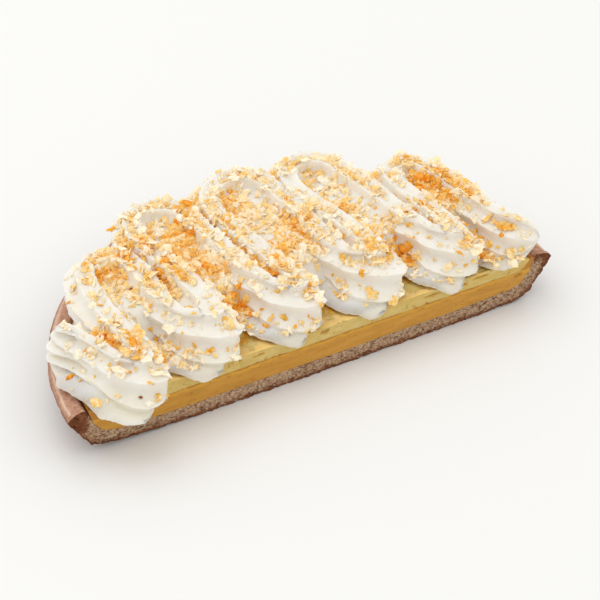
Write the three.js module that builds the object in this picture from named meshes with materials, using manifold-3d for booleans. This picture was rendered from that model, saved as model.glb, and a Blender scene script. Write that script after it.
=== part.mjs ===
// Half of a round vanilla custard tart, cut straight across and lying on its base.
// Millimetres, +Z up, the cut runs along X and faces -Y.
import * as THREE from 'three';
import { mergeVertices } from 'three/addons/utils/BufferGeometryUtils.js';
import Module from 'manifold-3d';

const wasm = await Module();
wasm.setup();

// Driving dimensions of the shell
const RIM_RADIUS = 130;
const BASE_RADIUS = 117.4;
const BASE_THICKNESS = 9;
const RIM_OUTER_HEIGHT = 24;
const RIM_INNER_HEIGHT = 26.8;
const RIM_WIDTH = 9.5;
const WALL_FOOT_RADIUS = 112;
const SHELL_SEGMENTS = 88;
const SHELL_UNEVENNESS = 0.5;
const SHELL_WANDER = 1.3;
const LEFT_LIFT = 1.5;

// Driving dimensions of the layers
const LAYER_SEGMENTS = 88;
const CUSTARD_TOP = 20;
const LINING_THICKNESS = 2.6;
const VANILLA_TOP = 27;
const GAP = 0.3;
const FINEST_DETAIL = 0.07;

// Driving dimensions of the piped wave
const STRAND_HALF_WIDTH = 12.6;
const STRAND_HALF_HEIGHT = 12.4;
const STRAND_HEIGHT = 37.4;
const FRONT_DROP = 1.6;
const FRONT_STRETCH = 1.08;
const LEAN_BELOW = 4;
const SIDE_LEAN = 0.12;
const SPREAD_BELOW = 0.12;
const FLUTES = 8;
const FLUTE_DEPTH = 0.24;
const FLUTE_SAG = 1.0;

const LEG_OVERLAP = 0.5;
const STRAND_ROLL = 0.5;
const NOSE_LENGTH = 8;
const NOSE_SCALE = 0.6;
const CORE_HEIGHT = 32;
const CORE_RADIUS = 104;
const CORE_FRONT = 26;

// Turns of the wave from left to right: where the middle of the strand turns round, its radius,
// and how far the front turns lean out over the cut
const FRONT_TURNS = [[-97, 2, 7, 0.8], [-57.5, 15.5, 9, 0.97], [-12.5, 16.5, 8, 0.93], [31.5, 21, 7.2, 1.15], [74.5, 18, 6.8, 1]];
const BACK_TURNS = [[-80, 75, 13], [-43.5, 102, 14.5], [2, 106, 18], [43.5, 103, 14.5], [86.5, 78, 10.5]];
const WAVE_START = [[-118, 41], [-113, 32], [-107.5, 18]];
const WAVE_END = [[102, 56], [103.5, 42], [105, 28], [108, 17], [113, 8], [118, 3]];

// Largest flakes of the crumble
const FLAKE_COUNT = 84;
const FLAKE_LENGTH = [2.0, 3.6];
const FLAKE_SPACING = 1.5;
const FLAKE_TRIES = 6000;
const FLAKE_SEED = 20;

// Seeded draw between 0 and 1
function seededRandom(seed) {
  let state = seed;
  return () => {
    state = (state + 0x6d2b79f5) | 0;
    let mixed = Math.imul(state ^ (state >>> 15), 1 | state);
    mixed = (mixed + Math.imul(mixed ^ (mixed >>> 7), 61 | mixed)) ^ mixed;
    return ((mixed ^ (mixed >>> 14)) >>> 0) / 4294967296;
  };
}

function toSolid(geometry) {
  const bare = geometry.clone();
  bare.deleteAttribute('normal');
  bare.deleteAttribute('uv');
  const merged = mergeVertices(bare, 1e-4);
  return new wasm.Manifold(new wasm.Mesh({
    numProp: 3,
    vertProperties: new Float32Array(merged.attributes.position.array),
    triVerts: new Uint32Array(merged.index.array),
  }));
}

function toGeometry(solid) {
  const mesh = solid.getMesh();
  const geometry = new THREE.BufferGeometry();
  geometry.setAttribute('position', new THREE.BufferAttribute(new Float32Array(mesh.vertProperties), 3));
  geometry.setIndex(new THREE.BufferAttribute(new Uint32Array(mesh.triVerts), 1));
  geometry.computeVertexNormals();
  return geometry;
}

function box(minimum, maximum) {
  const size = new THREE.Vector3().subVectors(maximum, minimum);
  const middle = new THREE.Vector3().addVectors(minimum, maximum).multiplyScalar(0.5);
  return toSolid(new THREE.BoxGeometry(size.x, size.y, size.z).translate(middle.x, middle.y, middle.z));
}

// Everything behind the cut
function behindCut(offset = 0) {
  return box(new THREE.Vector3(-200, offset, -50), new THREE.Vector3(200, 200, 100));
}

// A turned solid standing on Z from a profile of radius and height
function turned(profile, segments = SHELL_SEGMENTS) {
  const points = profile.map(([radius, height]) => new THREE.Vector2(radius, height));
  return new THREE.LatheGeometry(points, segments).rotateX(Math.PI / 2);
}

// Hand-pressed dough: the wall and the rim wander a little round the tart
const WANDER_WAVES = [[7, 1, 1], [17, 2.1, 0.7], [29, 0, 0.5]];
const LIFT_WAVES = 11;
const LIFT_RANGE = [50, 115];

function wanderAt(angle) {
  const sum = WANDER_WAVES.reduce((total, [count, phase, size]) => total + size * Math.sin(count * angle + phase), 0);
  const most = WANDER_WAVES.reduce((total, wave) => total + wave[2], 0);
  return (sum - most) / (2 * most);
}

function pressByHand(geometry) {
  const position = geometry.attributes.position;
  for (let i = 0; i < position.count; i += 1) {
    const x = position.getX(i);
    const y = position.getY(i);
    const z = position.getZ(i);
    const radius = Math.hypot(x, y);
    const angle = Math.atan2(y, x);
    const share = THREE.MathUtils.smoothstep(radius, RIM_RADIUS - RIM_WIDTH, RIM_RADIUS);
    const outward = 1 + (share * SHELL_WANDER * wanderAt(angle)) / RIM_RADIUS;
    const lift = share * SHELL_UNEVENNESS * Math.sin(LIFT_WAVES * angle);
    const tipped = LEFT_LIFT * THREE.MathUtils.smoothstep(-x, ...LIFT_RANGE);
    position.setXYZ(i, x * outward, y * outward, z + (z < BASE_THICKNESS / 2 ? tipped : lift));
  }
  return geometry;
}

function crustProfile() {
  const rimInner = RIM_RADIUS - RIM_WIDTH;
  return [
    [0, 0],
    [BASE_RADIUS - 45, 0],
    [BASE_RADIUS - 20, 0.5],
    [BASE_RADIUS - 6, 1.5],
    [BASE_RADIUS + 0.6, 3.8],
    [BASE_RADIUS + 3.6, 9],
    [RIM_RADIUS - 2.6, 17.5],
    [RIM_RADIUS, 21.4],
    [RIM_RADIUS, RIM_OUTER_HEIGHT - 0.8],
    [RIM_RADIUS - 1.4, RIM_OUTER_HEIGHT + 0.6],
    [RIM_RADIUS - 5, RIM_INNER_HEIGHT - 0.4],
    [rimInner, RIM_INNER_HEIGHT],
    [rimInner - 1.2, RIM_INNER_HEIGHT - 1.6],
    [rimInner - 4, CUSTARD_TOP - 2],
    [WALL_FOOT_RADIUS, BASE_THICKNESS + 3],
    [WALL_FOOT_RADIUS - 7, BASE_THICKNESS + 1],
    [WALL_FOOT_RADIUS - 40, BASE_THICKNESS],
    [0, BASE_THICKNESS],
  ];
}

function custardProfile() {
  const rimInner = RIM_RADIUS - RIM_WIDTH - GAP - 0.5;
  return [
    [0, BASE_THICKNESS + GAP],
    [WALL_FOOT_RADIUS - 40, BASE_THICKNESS + GAP],
    [WALL_FOOT_RADIUS - 7.3, BASE_THICKNESS + 1 + GAP],
    [WALL_FOOT_RADIUS - 0.6, BASE_THICKNESS + 3 + GAP],
    [rimInner - 4, CUSTARD_TOP - 2],
    [rimInner - 1.6, RIM_INNER_HEIGHT - 1.6],
    [rimInner - 2.2, RIM_INNER_HEIGHT - 0.4],
    [rimInner - 1.6 - LINING_THICKNESS, RIM_INNER_HEIGHT - 2.4],
    [rimInner - 4 - LINING_THICKNESS, CUSTARD_TOP + 1.2],
    [rimInner - 8 - LINING_THICKNESS, CUSTARD_TOP],
    [0, CUSTARD_TOP],
  ];
}

function vanillaProfile() {
  const rimInner = RIM_RADIUS - RIM_WIDTH - GAP - 0.5;
  return [
    [0, CUSTARD_TOP + GAP],
    [rimInner - 8 - LINING_THICKNESS, CUSTARD_TOP + GAP],
    [rimInner - 4.5 - LINING_THICKNESS, CUSTARD_TOP + 1.2 + GAP],
    [rimInner - 2.2 - LINING_THICKNESS, RIM_INNER_HEIGHT - 2.2],
    [rimInner - 3.6 - LINING_THICKNESS, VANILLA_TOP - 0.4],
    [rimInner - 12, VANILLA_TOP],
    [0, VANILLA_TOP],
  ];
}

// Room the cream keeps clear: the filled shell with the gap round it
function filledProfile() {
  return [
    [0, -1],
    [RIM_RADIUS + GAP, -1],
    [RIM_RADIUS + GAP, RIM_OUTER_HEIGHT + GAP],
    [RIM_RADIUS - 1, RIM_OUTER_HEIGHT + 1.2 + GAP],
    [RIM_RADIUS - 5, RIM_INNER_HEIGHT + 0.3 + GAP],
    [RIM_RADIUS - RIM_WIDTH, RIM_INNER_HEIGHT + 0.6 + GAP],
    [RIM_RADIUS - RIM_WIDTH - 5, VANILLA_TOP + GAP],
    [0, VANILLA_TOP + GAP],
  ];
}

// Pits and slits torn open where the knife passed: middle x, z, half length, half height, depth
const VANILLA_PITS = [[1, 24.6, 2.6, 1.6, 3.5], [60, 24.2, 5.5, 0.8, 3], [76, 23.6, 4.6, 0.9, 3], [88, 24.8, 5, 0.7, 3],
  [-34, 24.4, 3.4, 0.7, 2.4], [28, 23.4, 4, 0.7, 2.4]];
const CUSTARD_PITS = [[-6, 19.7, 9.5, 0.8, 3], [110, 17.6, 2.6, 1.3, 4], [-70, 15.6, 2.2, 0.8, 2]];

function tornPits(pits) {
  return pits.map(([x, z, halfLength, halfHeight, depth]) => toSolid(
    new THREE.IcosahedronGeometry(1, 1).scale(halfLength, depth, halfHeight).translate(x, 0, z),
  ));
}

function cutHalf(geometry) {
  return toSolid(geometry).intersect(behindCut());
}

function openPits(solid, pits) {
  return tornPits(pits).reduce((left, pit) => left.subtract(pit), solid);
}

// Middle line of the piped wave, seen from above
function wavePoints() {
  const open = (ends) => ends.map(([x, y]) => ({ x, y, lean: 0.4, tip: false }));
  const points = open(WAVE_START);
  FRONT_TURNS.forEach((turn, i) => {
    points.push(...turnPoints(turn, FRONT_SHAPE).slice(i === 0 ? 1 : 0));
    points.push(...turnPoints(BACK_TURNS[i], BACK_SHAPE));
  });
  return [...points, ...open(WAVE_END)];
}

// A turn as five points with how far each lies across and behind the tip, in turn radii
const FRONT_SHAPE = [[-1, 1.7], [-0.65, 0.6], [0.35, 0], [0.95, 0.55], [1, 1.5]];
const BACK_SHAPE = [[-1, -1.3], [-0.72, -0.31], [0, 0], [0.72, -0.31], [1, -1.3]];

function turnPoints([x, y, radius, lean = 0], shape) {
  return shape.map(([across, behind]) => ({
    x: x + across * radius,
    y: y + behind * radius,
    lean,
    tip: behind === 0,
  }));
}

// Stations along the strand, closer together where it bends, with the turns marked
const STEPS_BETWEEN_MARKS = 24;
const BEND_REACH = 8;
const LARGEST_BEND = 0.3;
const LONGEST_RUN = 13;

function waveStations() {
  const marks = wavePoints();
  const curve = new THREE.CatmullRomCurve3(marks.map(({ x, y }) => new THREE.Vector3(x, y, 0)), false, 'centripetal');
  const fine = [];
  const steps = STEPS_BETWEEN_MARKS;
  for (let i = 0; i < (marks.length - 1) * steps + 1; i += 1) {
    const t = i / ((marks.length - 1) * steps);
    const tip = i % steps === 0 && marks[i / steps].tip;
    const lean = marks[Math.round(i / steps)].lean;
    fine.push({ point: curve.getPoint(t), tangent: curve.getTangent(t).normalize(), tip, lean });
  }
  return thinned(withCurvature(fine));
}

function withCurvature(stations) {
  const last = stations.length - 1;
  return stations.map((station, i) => {
    const before = stations[Math.max(i - BEND_REACH, 0)];
    const after = stations[Math.min(i + BEND_REACH, last)];
    const turnAngle = Math.asin(THREE.MathUtils.clamp(before.tangent.clone().cross(after.tangent).z, -1, 1));
    const along = before.point.distanceTo(after.point);
    return { ...station, curvature: turnAngle / Math.max(along, 1e-6) };
  });
}

function thinned(stations) {
  const kept = [stations[0]];
  stations.slice(1).forEach((station, i) => {
    const previous = kept[kept.length - 1];
    const bend = previous.tangent.angleTo(station.tangent);
    const run = previous.point.distanceTo(station.point);
    if (station.tip || bend > LARGEST_BEND || run > LONGEST_RUN || i === stations.length - 2) {
      kept.push(station);
    }
  });
  return kept;
}

// How close a station is to the tip of a front turn, from 0 to 1
const FRONT_REACH = 45;

function frontShare(station) {
  const nearCut = station.point.y < FRONT_REACH;
  return nearCut && station.curvature > 0 ? Math.abs(station.tangent.x) : 0;
}

// The star-shaped section of the strand, as points across (to its right) and up
function strandSection(station, scale) {
  const share = frontShare(station);
  const points = [];
  for (let i = 0; i < 2 * FLUTES; i += 1) {
    const angle = ((i + 1) * Math.PI) / FLUTES;
    const crest = i % 2 === 0;
    const reach = crest ? 1 : 1 - FLUTE_DEPTH;
    const spread = 1 + SPREAD_BELOW * Math.max(0, -Math.sin(angle));
    let across = Math.cos(angle) * reach * spread * STRAND_HALF_WIDTH * scale;
    let up = Math.sin(angle) * reach * STRAND_HALF_HEIGHT * scale * (1 + share * (FRONT_STRETCH - 1));
    up -= crest ? FLUTE_SAG * Math.abs(Math.cos(angle)) : 0;
    across = clampInside(across, station.curvature);
    const below = share * station.lean * Math.max(0, LEAN_BELOW - up);
    points.push([across + (across > 0 ? below : 0), up, SIDE_LEAN * below]);
  }
  return points;
}

// The inner side of a bend cannot pass the middle of the bend
const INSIDE_LIMIT = 0.9;

function clampInside(across, curvature) {
  const limit = INSIDE_LIMIT / Math.max(Math.abs(curvature), 1e-6);
  return curvature > 0 ? Math.max(across, -limit) : Math.min(across, limit);
}

function strandHeight(station) {
  const roll = STRAND_ROLL * (Math.sin(station.point.x * 0.21) + Math.sin(station.point.y * 0.13));
  return STRAND_HEIGHT - FRONT_DROP * frontShare(station) + roll;
}

function placedSection(station, scale) {
  const right = new THREE.Vector3(station.tangent.y, -station.tangent.x, 0);
  const height = strandHeight(station);
  return strandSection(station, scale).map(([across, up, aside]) => new THREE.Vector3(
    station.point.x + right.x * across + aside,
    station.point.y + right.y * across,
    height + up,
  ));
}

// A closed body through a row of equal rings, with a flat fan at each end
function skinned(rings) {
  const count = rings[0].length;
  const positions = rings.flat().flatMap((point) => [point.x, point.y, point.z]);
  const indices = [];
  for (let i = 0; i < rings.length - 1; i += 1) {
    for (let j = 0; j < count; j += 1) {
      const next = (j + 1) % count;
      const [a, b, c, d] = [i * count + j, i * count + next, (i + 1) * count + j, (i + 1) * count + next];
      indices.push(a, c, b, b, c, d);
    }
  }
  [0, rings.length - 1].forEach((end) => {
    const middle = positions.length / 3;
    const centre = rings[end].reduce((sum, point) => sum.add(point), new THREE.Vector3()).divideScalar(count);
    positions.push(centre.x, centre.y, centre.z);
    for (let j = 0; j < count; j += 1) {
      const [a, b] = [end * count + j, end * count + ((j + 1) % count)];
      indices.push(...(end === 0 ? [middle, a, b] : [middle, b, a]));
    }
  });
  const geometry = new THREE.BufferGeometry();
  geometry.setAttribute('position', new THREE.Float32BufferAttribute(positions, 3));
  geometry.setIndex(indices);
  return geometry;
}

// One leg of the strand, whose ends reach straight on a little way into its neighbours
function plugged(rings, stations, start, end) {
  const inner = rings.slice(start + 1, end);
  const before = pushed(rings[start], stations[start].tangent, start > 0 ? -LEG_OVERLAP : 0);
  const after = pushed(rings[end], stations[end].tangent, end < rings.length - 1 ? LEG_OVERLAP : 0);
  return [before, ...inner, after];
}

function pushed(ring, direction, distance) {
  return ring.map((point) => point.clone().addScaledVector(direction, distance));
}

// The strand tapers to a blunt nose at both ends of the wave
function noseScale(distance) {
  const share = THREE.MathUtils.clamp(distance / NOSE_LENGTH, 0, 1);
  return NOSE_SCALE + (1 - NOSE_SCALE) * Math.sqrt(1 - (1 - share) ** 2);
}

function pipedStrand() {
  const stations = waveStations();
  const first = stations[0].point;
  const last = stations[stations.length - 1].point;
  const rings = stations.map((station) => placedSection(
    station,
    noseScale(Math.min(station.point.distanceTo(first), station.point.distanceTo(last))),
  ));
  const cuts = stations.map((station, i) => (station.tip ? i : -1)).filter((i) => i >= 0);
  const ends = [0, ...cuts, stations.length - 1];
  const legs = ends.slice(1).map((end, i) => toSolid(skinned(plugged(rings, stations, ends[i], end))));
  return legs.reduce((sum, leg) => sum.add(leg));
}

// Cream pressed together under and between the strands
function creamCore() {
  const outline = [[0, VANILLA_TOP], [CORE_RADIUS, VANILLA_TOP], [CORE_RADIUS, CORE_HEIGHT], [0, CORE_HEIGHT]];
  const slab = toSolid(turned(outline, 48));
  const height = CORE_HEIGHT - VANILLA_TOP;
  const pillars = FRONT_TURNS.map(([x, y, radius]) => toSolid(
    new THREE.CylinderGeometry(radius, radius, height, 10).rotateX(Math.PI / 2)
      .translate(x, y + radius, VANILLA_TOP + height / 2),
  ));
  return pillars.reduce((sum, pillar) => sum.add(pillar), slab.intersect(behindCut(CORE_FRONT)));
}

// One broken flake: a squashed lump with its corners pushed about
function flake(random, length) {
  const lump = mergeVertices(bareIcosahedron());
  const position = lump.attributes.position;
  for (let i = 0; i < position.count; i += 1) {
    const push = 0.72 + 0.5 * random();
    position.setXYZ(i, position.getX(i) * push, position.getY(i) * push, position.getZ(i) * push);
  }
  lump.scale(length, length * (0.55 + 0.35 * random()), length * (0.3 + 0.25 * random()));
  return lump;
}

function bareIcosahedron() {
  const ball = new THREE.IcosahedronGeometry(1, 0);
  ball.deleteAttribute('normal');
  ball.deleteAttribute('uv');
  return ball;
}

// Flakes lie thickest over the middle and the back of the cream and thin out towards the cut
const LEAST_FLAKES = 0.25;
const FULL_FLAKES_FROM = 38;

function flakeShare(y) {
  return LEAST_FLAKES + (1 - LEAST_FLAKES) * THREE.MathUtils.smoothstep(y, 0, FULL_FLAKES_FROM);
}

function scatteredFlakes(cream) {
  const random = seededRandom(FLAKE_SEED);
  const target = new THREE.Mesh(toGeometry(cream), new THREE.MeshBasicMaterial({ side: THREE.DoubleSide }));
  const down = new THREE.Vector3(0, 0, -1);
  const placed = [];
  for (let tries = 0; tries < FLAKE_TRIES && placed.length < FLAKE_COUNT; tries += 1) {
    const angle = Math.PI * random();
    const radius = (RIM_RADIUS - RIM_WIDTH) * Math.sqrt(random());
    const spot = new THREE.Vector3(radius * Math.cos(angle), radius * Math.sin(angle), 2 * STRAND_HEIGHT);
    const length = THREE.MathUtils.lerp(FLAKE_LENGTH[1], FLAKE_LENGTH[0], placed.length / FLAKE_COUNT);
    const hit = new THREE.Raycaster(spot, down).intersectObject(target)[0];
    const clear = placed.every((other) => other.spot.distanceTo(spot) > other.length + length + FLAKE_SPACING);
    if (hit && clear && hit.point.z > CORE_HEIGHT && random() < flakeShare(spot.y)) {
      placed.push({ spot, length, solid: laidFlake(random, length, hit) });
    }
  }
  return placed.map((entry) => entry.solid);
}

// Lays a flake on the cream, tipped off the surface and sunk in a little
function laidFlake(random, length, hit) {
  const normal = hit.face.normal.z < 0 ? hit.face.normal.clone().negate() : hit.face.normal.clone();
  normal.x += random() - 0.5;
  normal.y += random() - 0.5;
  normal.normalize();
  const turn = new THREE.Quaternion().setFromUnitVectors(new THREE.Vector3(0, 0, 1), normal);
  const lump = flake(random, length);
  lump.rotateZ(2 * Math.PI * random());
  lump.applyQuaternion(turn);
  const sunk = hit.point.clone().addScaledVector(normal, 0.12 * length);
  return toSolid(lump.translate(sunk.x, sunk.y, sunk.z));
}

// Keeps the one connected body and leaves out loose scraps
function largestPart(solid) {
  return solid.decompose().reduce((best, part) => (part.volume() > best.volume() ? part : best));
}

function whippedCream() {
  const room = toSolid(turned(filledProfile(), 64)).intersect(behindCut(-GAP));
  const piped = largestPart(pipedStrand().add(creamCore()).subtract(room));
  const withFlakes = scatteredFlakes(piped).reduce((sum, part) => sum.add(part), piped).subtract(room);
  return largestPart(withFlakes.simplify(FINEST_DETAIL));
}

function piece(name, solid, color, roughness) {
  const mesh = new THREE.Mesh(toGeometry(solid), new THREE.MeshStandardMaterial({ color, roughness, metalness: 0 }));
  mesh.name = name;
  return mesh;
}

function buildTart() {
  const tart = new THREE.Group();
  tart.name = 'vanilla_custard_tart_half';
  const crust = cutHalf(pressByHand(turned(crustProfile())));
  const custard = openPits(cutHalf(turned(custardProfile(), LAYER_SEGMENTS)), CUSTARD_PITS);
  const vanilla = openPits(cutHalf(turned(vanillaProfile(), LAYER_SEGMENTS)), VANILLA_PITS);
  tart.add(piece('crust', crust, 0xb07a52, 0.9));
  tart.add(piece('custard', custard, 0xb98a3a, 0.45));
  tart.add(piece('vanilla_cream', vanilla, 0xcdb87e, 0.55));
  tart.add(piece('whipped_cream', whippedCream(), 0xefece6, 0.5));
  return tart;
}

// The origin sits under the middle of the tart
function centred(tart) {
  const bounds = new THREE.Box3().setFromObject(tart);
  const middle = bounds.getCenter(new THREE.Vector3());
  tart.children.forEach((mesh) => mesh.geometry.translate(-middle.x, -middle.y, -bounds.min.z));
  return tart;
}

export default centred(buildTart());
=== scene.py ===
import itertools
import math

import bmesh
import bpy
import numpy as np
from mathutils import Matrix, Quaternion, Vector
from mathutils.bvhtree import BVHTree


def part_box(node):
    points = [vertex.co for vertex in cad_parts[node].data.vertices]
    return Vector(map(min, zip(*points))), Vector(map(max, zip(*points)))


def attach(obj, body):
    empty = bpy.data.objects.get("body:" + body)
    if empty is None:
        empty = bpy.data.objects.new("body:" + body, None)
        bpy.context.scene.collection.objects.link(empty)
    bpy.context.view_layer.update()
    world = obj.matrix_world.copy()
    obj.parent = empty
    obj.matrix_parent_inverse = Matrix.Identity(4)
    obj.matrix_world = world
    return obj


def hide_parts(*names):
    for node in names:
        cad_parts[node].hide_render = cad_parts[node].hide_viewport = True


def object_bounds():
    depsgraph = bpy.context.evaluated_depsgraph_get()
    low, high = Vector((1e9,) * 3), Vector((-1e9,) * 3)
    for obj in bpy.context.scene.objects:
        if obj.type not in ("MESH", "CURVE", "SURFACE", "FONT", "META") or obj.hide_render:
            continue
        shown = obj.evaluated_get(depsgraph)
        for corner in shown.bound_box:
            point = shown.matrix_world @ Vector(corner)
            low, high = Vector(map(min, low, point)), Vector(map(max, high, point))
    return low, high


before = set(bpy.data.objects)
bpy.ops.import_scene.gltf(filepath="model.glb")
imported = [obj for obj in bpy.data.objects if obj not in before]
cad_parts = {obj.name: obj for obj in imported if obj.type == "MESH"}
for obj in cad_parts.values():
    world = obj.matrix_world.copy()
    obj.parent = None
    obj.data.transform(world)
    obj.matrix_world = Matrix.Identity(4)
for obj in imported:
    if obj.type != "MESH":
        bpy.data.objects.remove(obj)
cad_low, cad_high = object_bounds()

MM = 0.001
crust_low, crust_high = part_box("crust")
CUT_PLACE = np.array([(crust_low.x + crust_high.x) / 2, crust_low.y, crust_low.z])

# Sizes of the shell and the layers
RIM_RADIUS = 130.0
BASE_THICKNESS = 9.0
RIM_OUTER_HEIGHT = 24.0
RIM_INNER_HEIGHT = 26.8
RIM_WIDTH = 9.5
CUSTARD_TOP = 20.0
VANILLA_TOP = 27.0
GAP = 0.3

# Sizes of the piped wave
STRAND_HALF_WIDTH = 12.6
STRAND_HALF_HEIGHT = 12.4
STRAND_HEIGHT = 37.4
FRONT_DROP = 1.6
FLUTES = 8
FLUTE_DEPTH = 5.6
FLUTE_SAG = 1.0
FLUTE_PINCH = 1.9
FLUTE_UNDERCUT = 3.0
POINTS_PER_FLUTE = 12
STATION_STEP = 1.2
TURN_STEP = 0.5
START_NOSE = (8, 0.5)
END_NOSE = (17, 0.22)
LEG_OVERLAP = 2
LEG_TUCK = 0.2
STEPS_PER_MARK = 40
TURNING_RANGE = (0.02, 0.07)
TURNING_SMOOTHING = 9
BEND_SMOOTHING = 5

# The cream that is pressed together under the strands
CORE_LOW = 27.3
CORE_HIGH = 41.5
CORE_RADIUS = 118.0
CORE_FRONT = 26.0
CORE_SLOPE = 13.0
CORE_RINGS = 60
CORE_BUMPS = 0.8
CORE_BUMP_SIZE = 7
TURNED_SEGMENTS = 160
CORE_CUTTER = ((-200, -200, -50), (200, CORE_FRONT, 200))
ROOM_CUTTER = ((-200, -200, -50), (200, -GAP, 100))

# Turns of the wave from left to right: where the strand's middle turns round, its radius, and how
# far the front turns lean out over the cut
FRONT_TURNS = [(-97, 2.2, 7, 0.9), (-57.5, 15.5, 9, 1), (-12.5, 16.5, 8, 0.95), (31.5, 21, 7.2, 1.12),
               (74.5, 18, 6.8, 1.03)]
BACK_TURNS = [(-80, 75, 13), (-43.5, 102, 14.5), (2, 106, 18), (43.5, 103, 14.5), (86.5, 78, 10.5)]
WAVE_START = [(-118, 41), (-113, 32), (-107.5, 18)]
WAVE_END = [(99, 58), (101.5, 43), (103.5, 29), (107.5, 17), (114, 7.5), (121, 0.5)]
START_LEAN = 0.9
END_LEAN = 1.0
FRONT_SHAPE = [(-1, 1.7), (-0.65, 0.6), (0.35, 0), (0.95, 0.55), (1, 1.5)]
BACK_SHAPE = [(-1, -1.3), (-0.72, -0.31), (0, 0), (0.72, -0.31), (1, -1.3)]


# Random fields

def hashed(x, y, z, seed):
    """Numbers between 0 and 1 that belong to the corners of a whole-number lattice."""
    mixed = (x * 374761393 + y * 668265263 + z * 2147483647 + seed * 974634777) & 0xFFFFFFFF
    mixed = ((mixed ^ (mixed >> 13)) * 1274126177) & 0xFFFFFFFF
    return ((mixed ^ (mixed >> 16)) & 0xFFFF) / 65535.0


def field(points, size, seed):
    """Smooth random values between -1 and 1 that change over about the given size."""
    scaled = np.asarray(points, float) / np.asarray(size, float)
    cell = np.floor(scaled).astype(np.int64)
    share = scaled - cell
    share = share * share * (3 - 2 * share)
    total = np.zeros(len(scaled))
    for corner in itertools.product((0, 1), repeat=3):
        weight = np.prod(np.where(corner, share, 1 - share), axis=1)
        total += weight * hashed(*(cell + corner).T, seed)
    return 2 * total - 1


def fractal(points, size, seed, octaves=3):
    """The random field with finer and weaker copies of itself added."""
    total, weight = 0, 1
    for octave in range(octaves):
        total = total + weight * field(points, np.asarray(size) / 2 ** octave, seed + octave)
        weight /= 2
    return total / 1.75


def flat_fractal(points, size, seed, octaves=3):
    """The same for points in rows or rings."""
    return fractal(points.reshape(-1, 3), size, seed, octaves).reshape(points.shape[:-1])


def smoothstep(value, low, high):
    share = np.clip((value - low) / (high - low), 0, 1)
    return share * share * (3 - 2 * share)


def smoothed(values, width):
    """A running mean."""
    padded = np.pad(values, width // 2, mode="edge")
    return np.convolve(padded, np.ones(width) / width, mode="valid")


# Meshes

def place(point):
    """A point of the tart in the frame."""
    return Vector(np.asarray(point, float) * MM + CUT_PLACE)


def tart_points(made):
    """The points of an object's mesh in millimetres from the middle of the cut's bottom edge."""
    points = np.zeros(len(made.data.vertices) * 3, np.float32)
    made.data.vertices.foreach_get("co", points)
    return (points.reshape(-1, 3) - CUT_PLACE) / MM


def mesh_object(name, points, faces, materials, smooth=True):
    """An object of the tart from points in millimetres."""
    mesh = bpy.data.meshes.new(name)
    mesh.from_pydata((np.asarray(points) * MM + CUT_PLACE).tolist(), [], faces)
    mesh.update()
    for material in materials:
        mesh.materials.append(material)
    if smooth:
        mesh.shade_smooth()
    else:
        mesh.shade_flat()
    made = bpy.data.objects.new(name, mesh)
    bpy.context.scene.collection.objects.link(made)
    return made


def grid_faces(rows, columns, start=0, wrap=False):
    """Quads of a grid of points, row after row."""
    row = np.arange(rows - 1)[:, None] * columns
    column = np.arange(columns if wrap else columns - 1)[None, :]
    following = (column + 1) % columns
    above = row + columns
    quads = np.stack([row + column, row + following, above + following, above + column], axis=-1)
    return (quads.reshape(-1, 4) + start).tolist()


def set_attribute(made, name, values):
    """Gives each point of a mesh a value for its material."""
    layer = made.data.attributes.new(name, "FLOAT", "POINT")
    layer.data.foreach_set("value", np.asarray(values, np.float32))


# The piped wave

def turn_points(turn, shape):
    """The marks of one turn. A fourth number is its lean, and its tip is where it lies farthest out."""
    x, y, radius = turn[:3]
    lean = turn[3] if len(turn) > 3 else 1
    return [(x + across * radius, y + behind * radius, lean, behind == 0) for across, behind in shape]


def wave_points():
    """Marks along the middle of the strand: x, y, lean and whether it is the tip of a turn."""
    marks = [(x, y, START_LEAN, False) for x, y in WAVE_START]
    for i, (front, back) in enumerate(zip(FRONT_TURNS, BACK_TURNS)):
        marks += turn_points(front, FRONT_SHAPE)[1 if i == 0 else 0:]
        marks += turn_points(back, BACK_SHAPE)
    return marks + [(x, y, END_LEAN, False) for x, y in WAVE_END]


def smooth_line(points, steps):
    """A centripetal Catmull-Rom line through the points."""
    points = np.asarray(points, float)
    padded = np.vstack([2 * points[0] - points[1], points, 2 * points[-1] - points[-2]])
    line = []
    for a, b, c, d in zip(padded, padded[1:], padded[2:], padded[3:]):
        first, middle, last = (math.sqrt(np.linalg.norm(q - p)) for p, q in ((a, b), (b, c), (c, d)))
        leave = ((b - a) / first - (c - a) / (first + middle) + (c - b) / middle) * middle
        arrive = ((c - b) / middle - (d - b) / (middle + last) + (d - c) / last) * middle
        t = np.arange(steps)[:, None] / steps
        square = 3 * (c - b) - 2 * leave - arrive
        cube = 2 * (b - c) + leave + arrive
        line.append(b + leave * t + square * t**2 + cube * t**3)
    return np.vstack([*line, points[-1:]])


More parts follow.
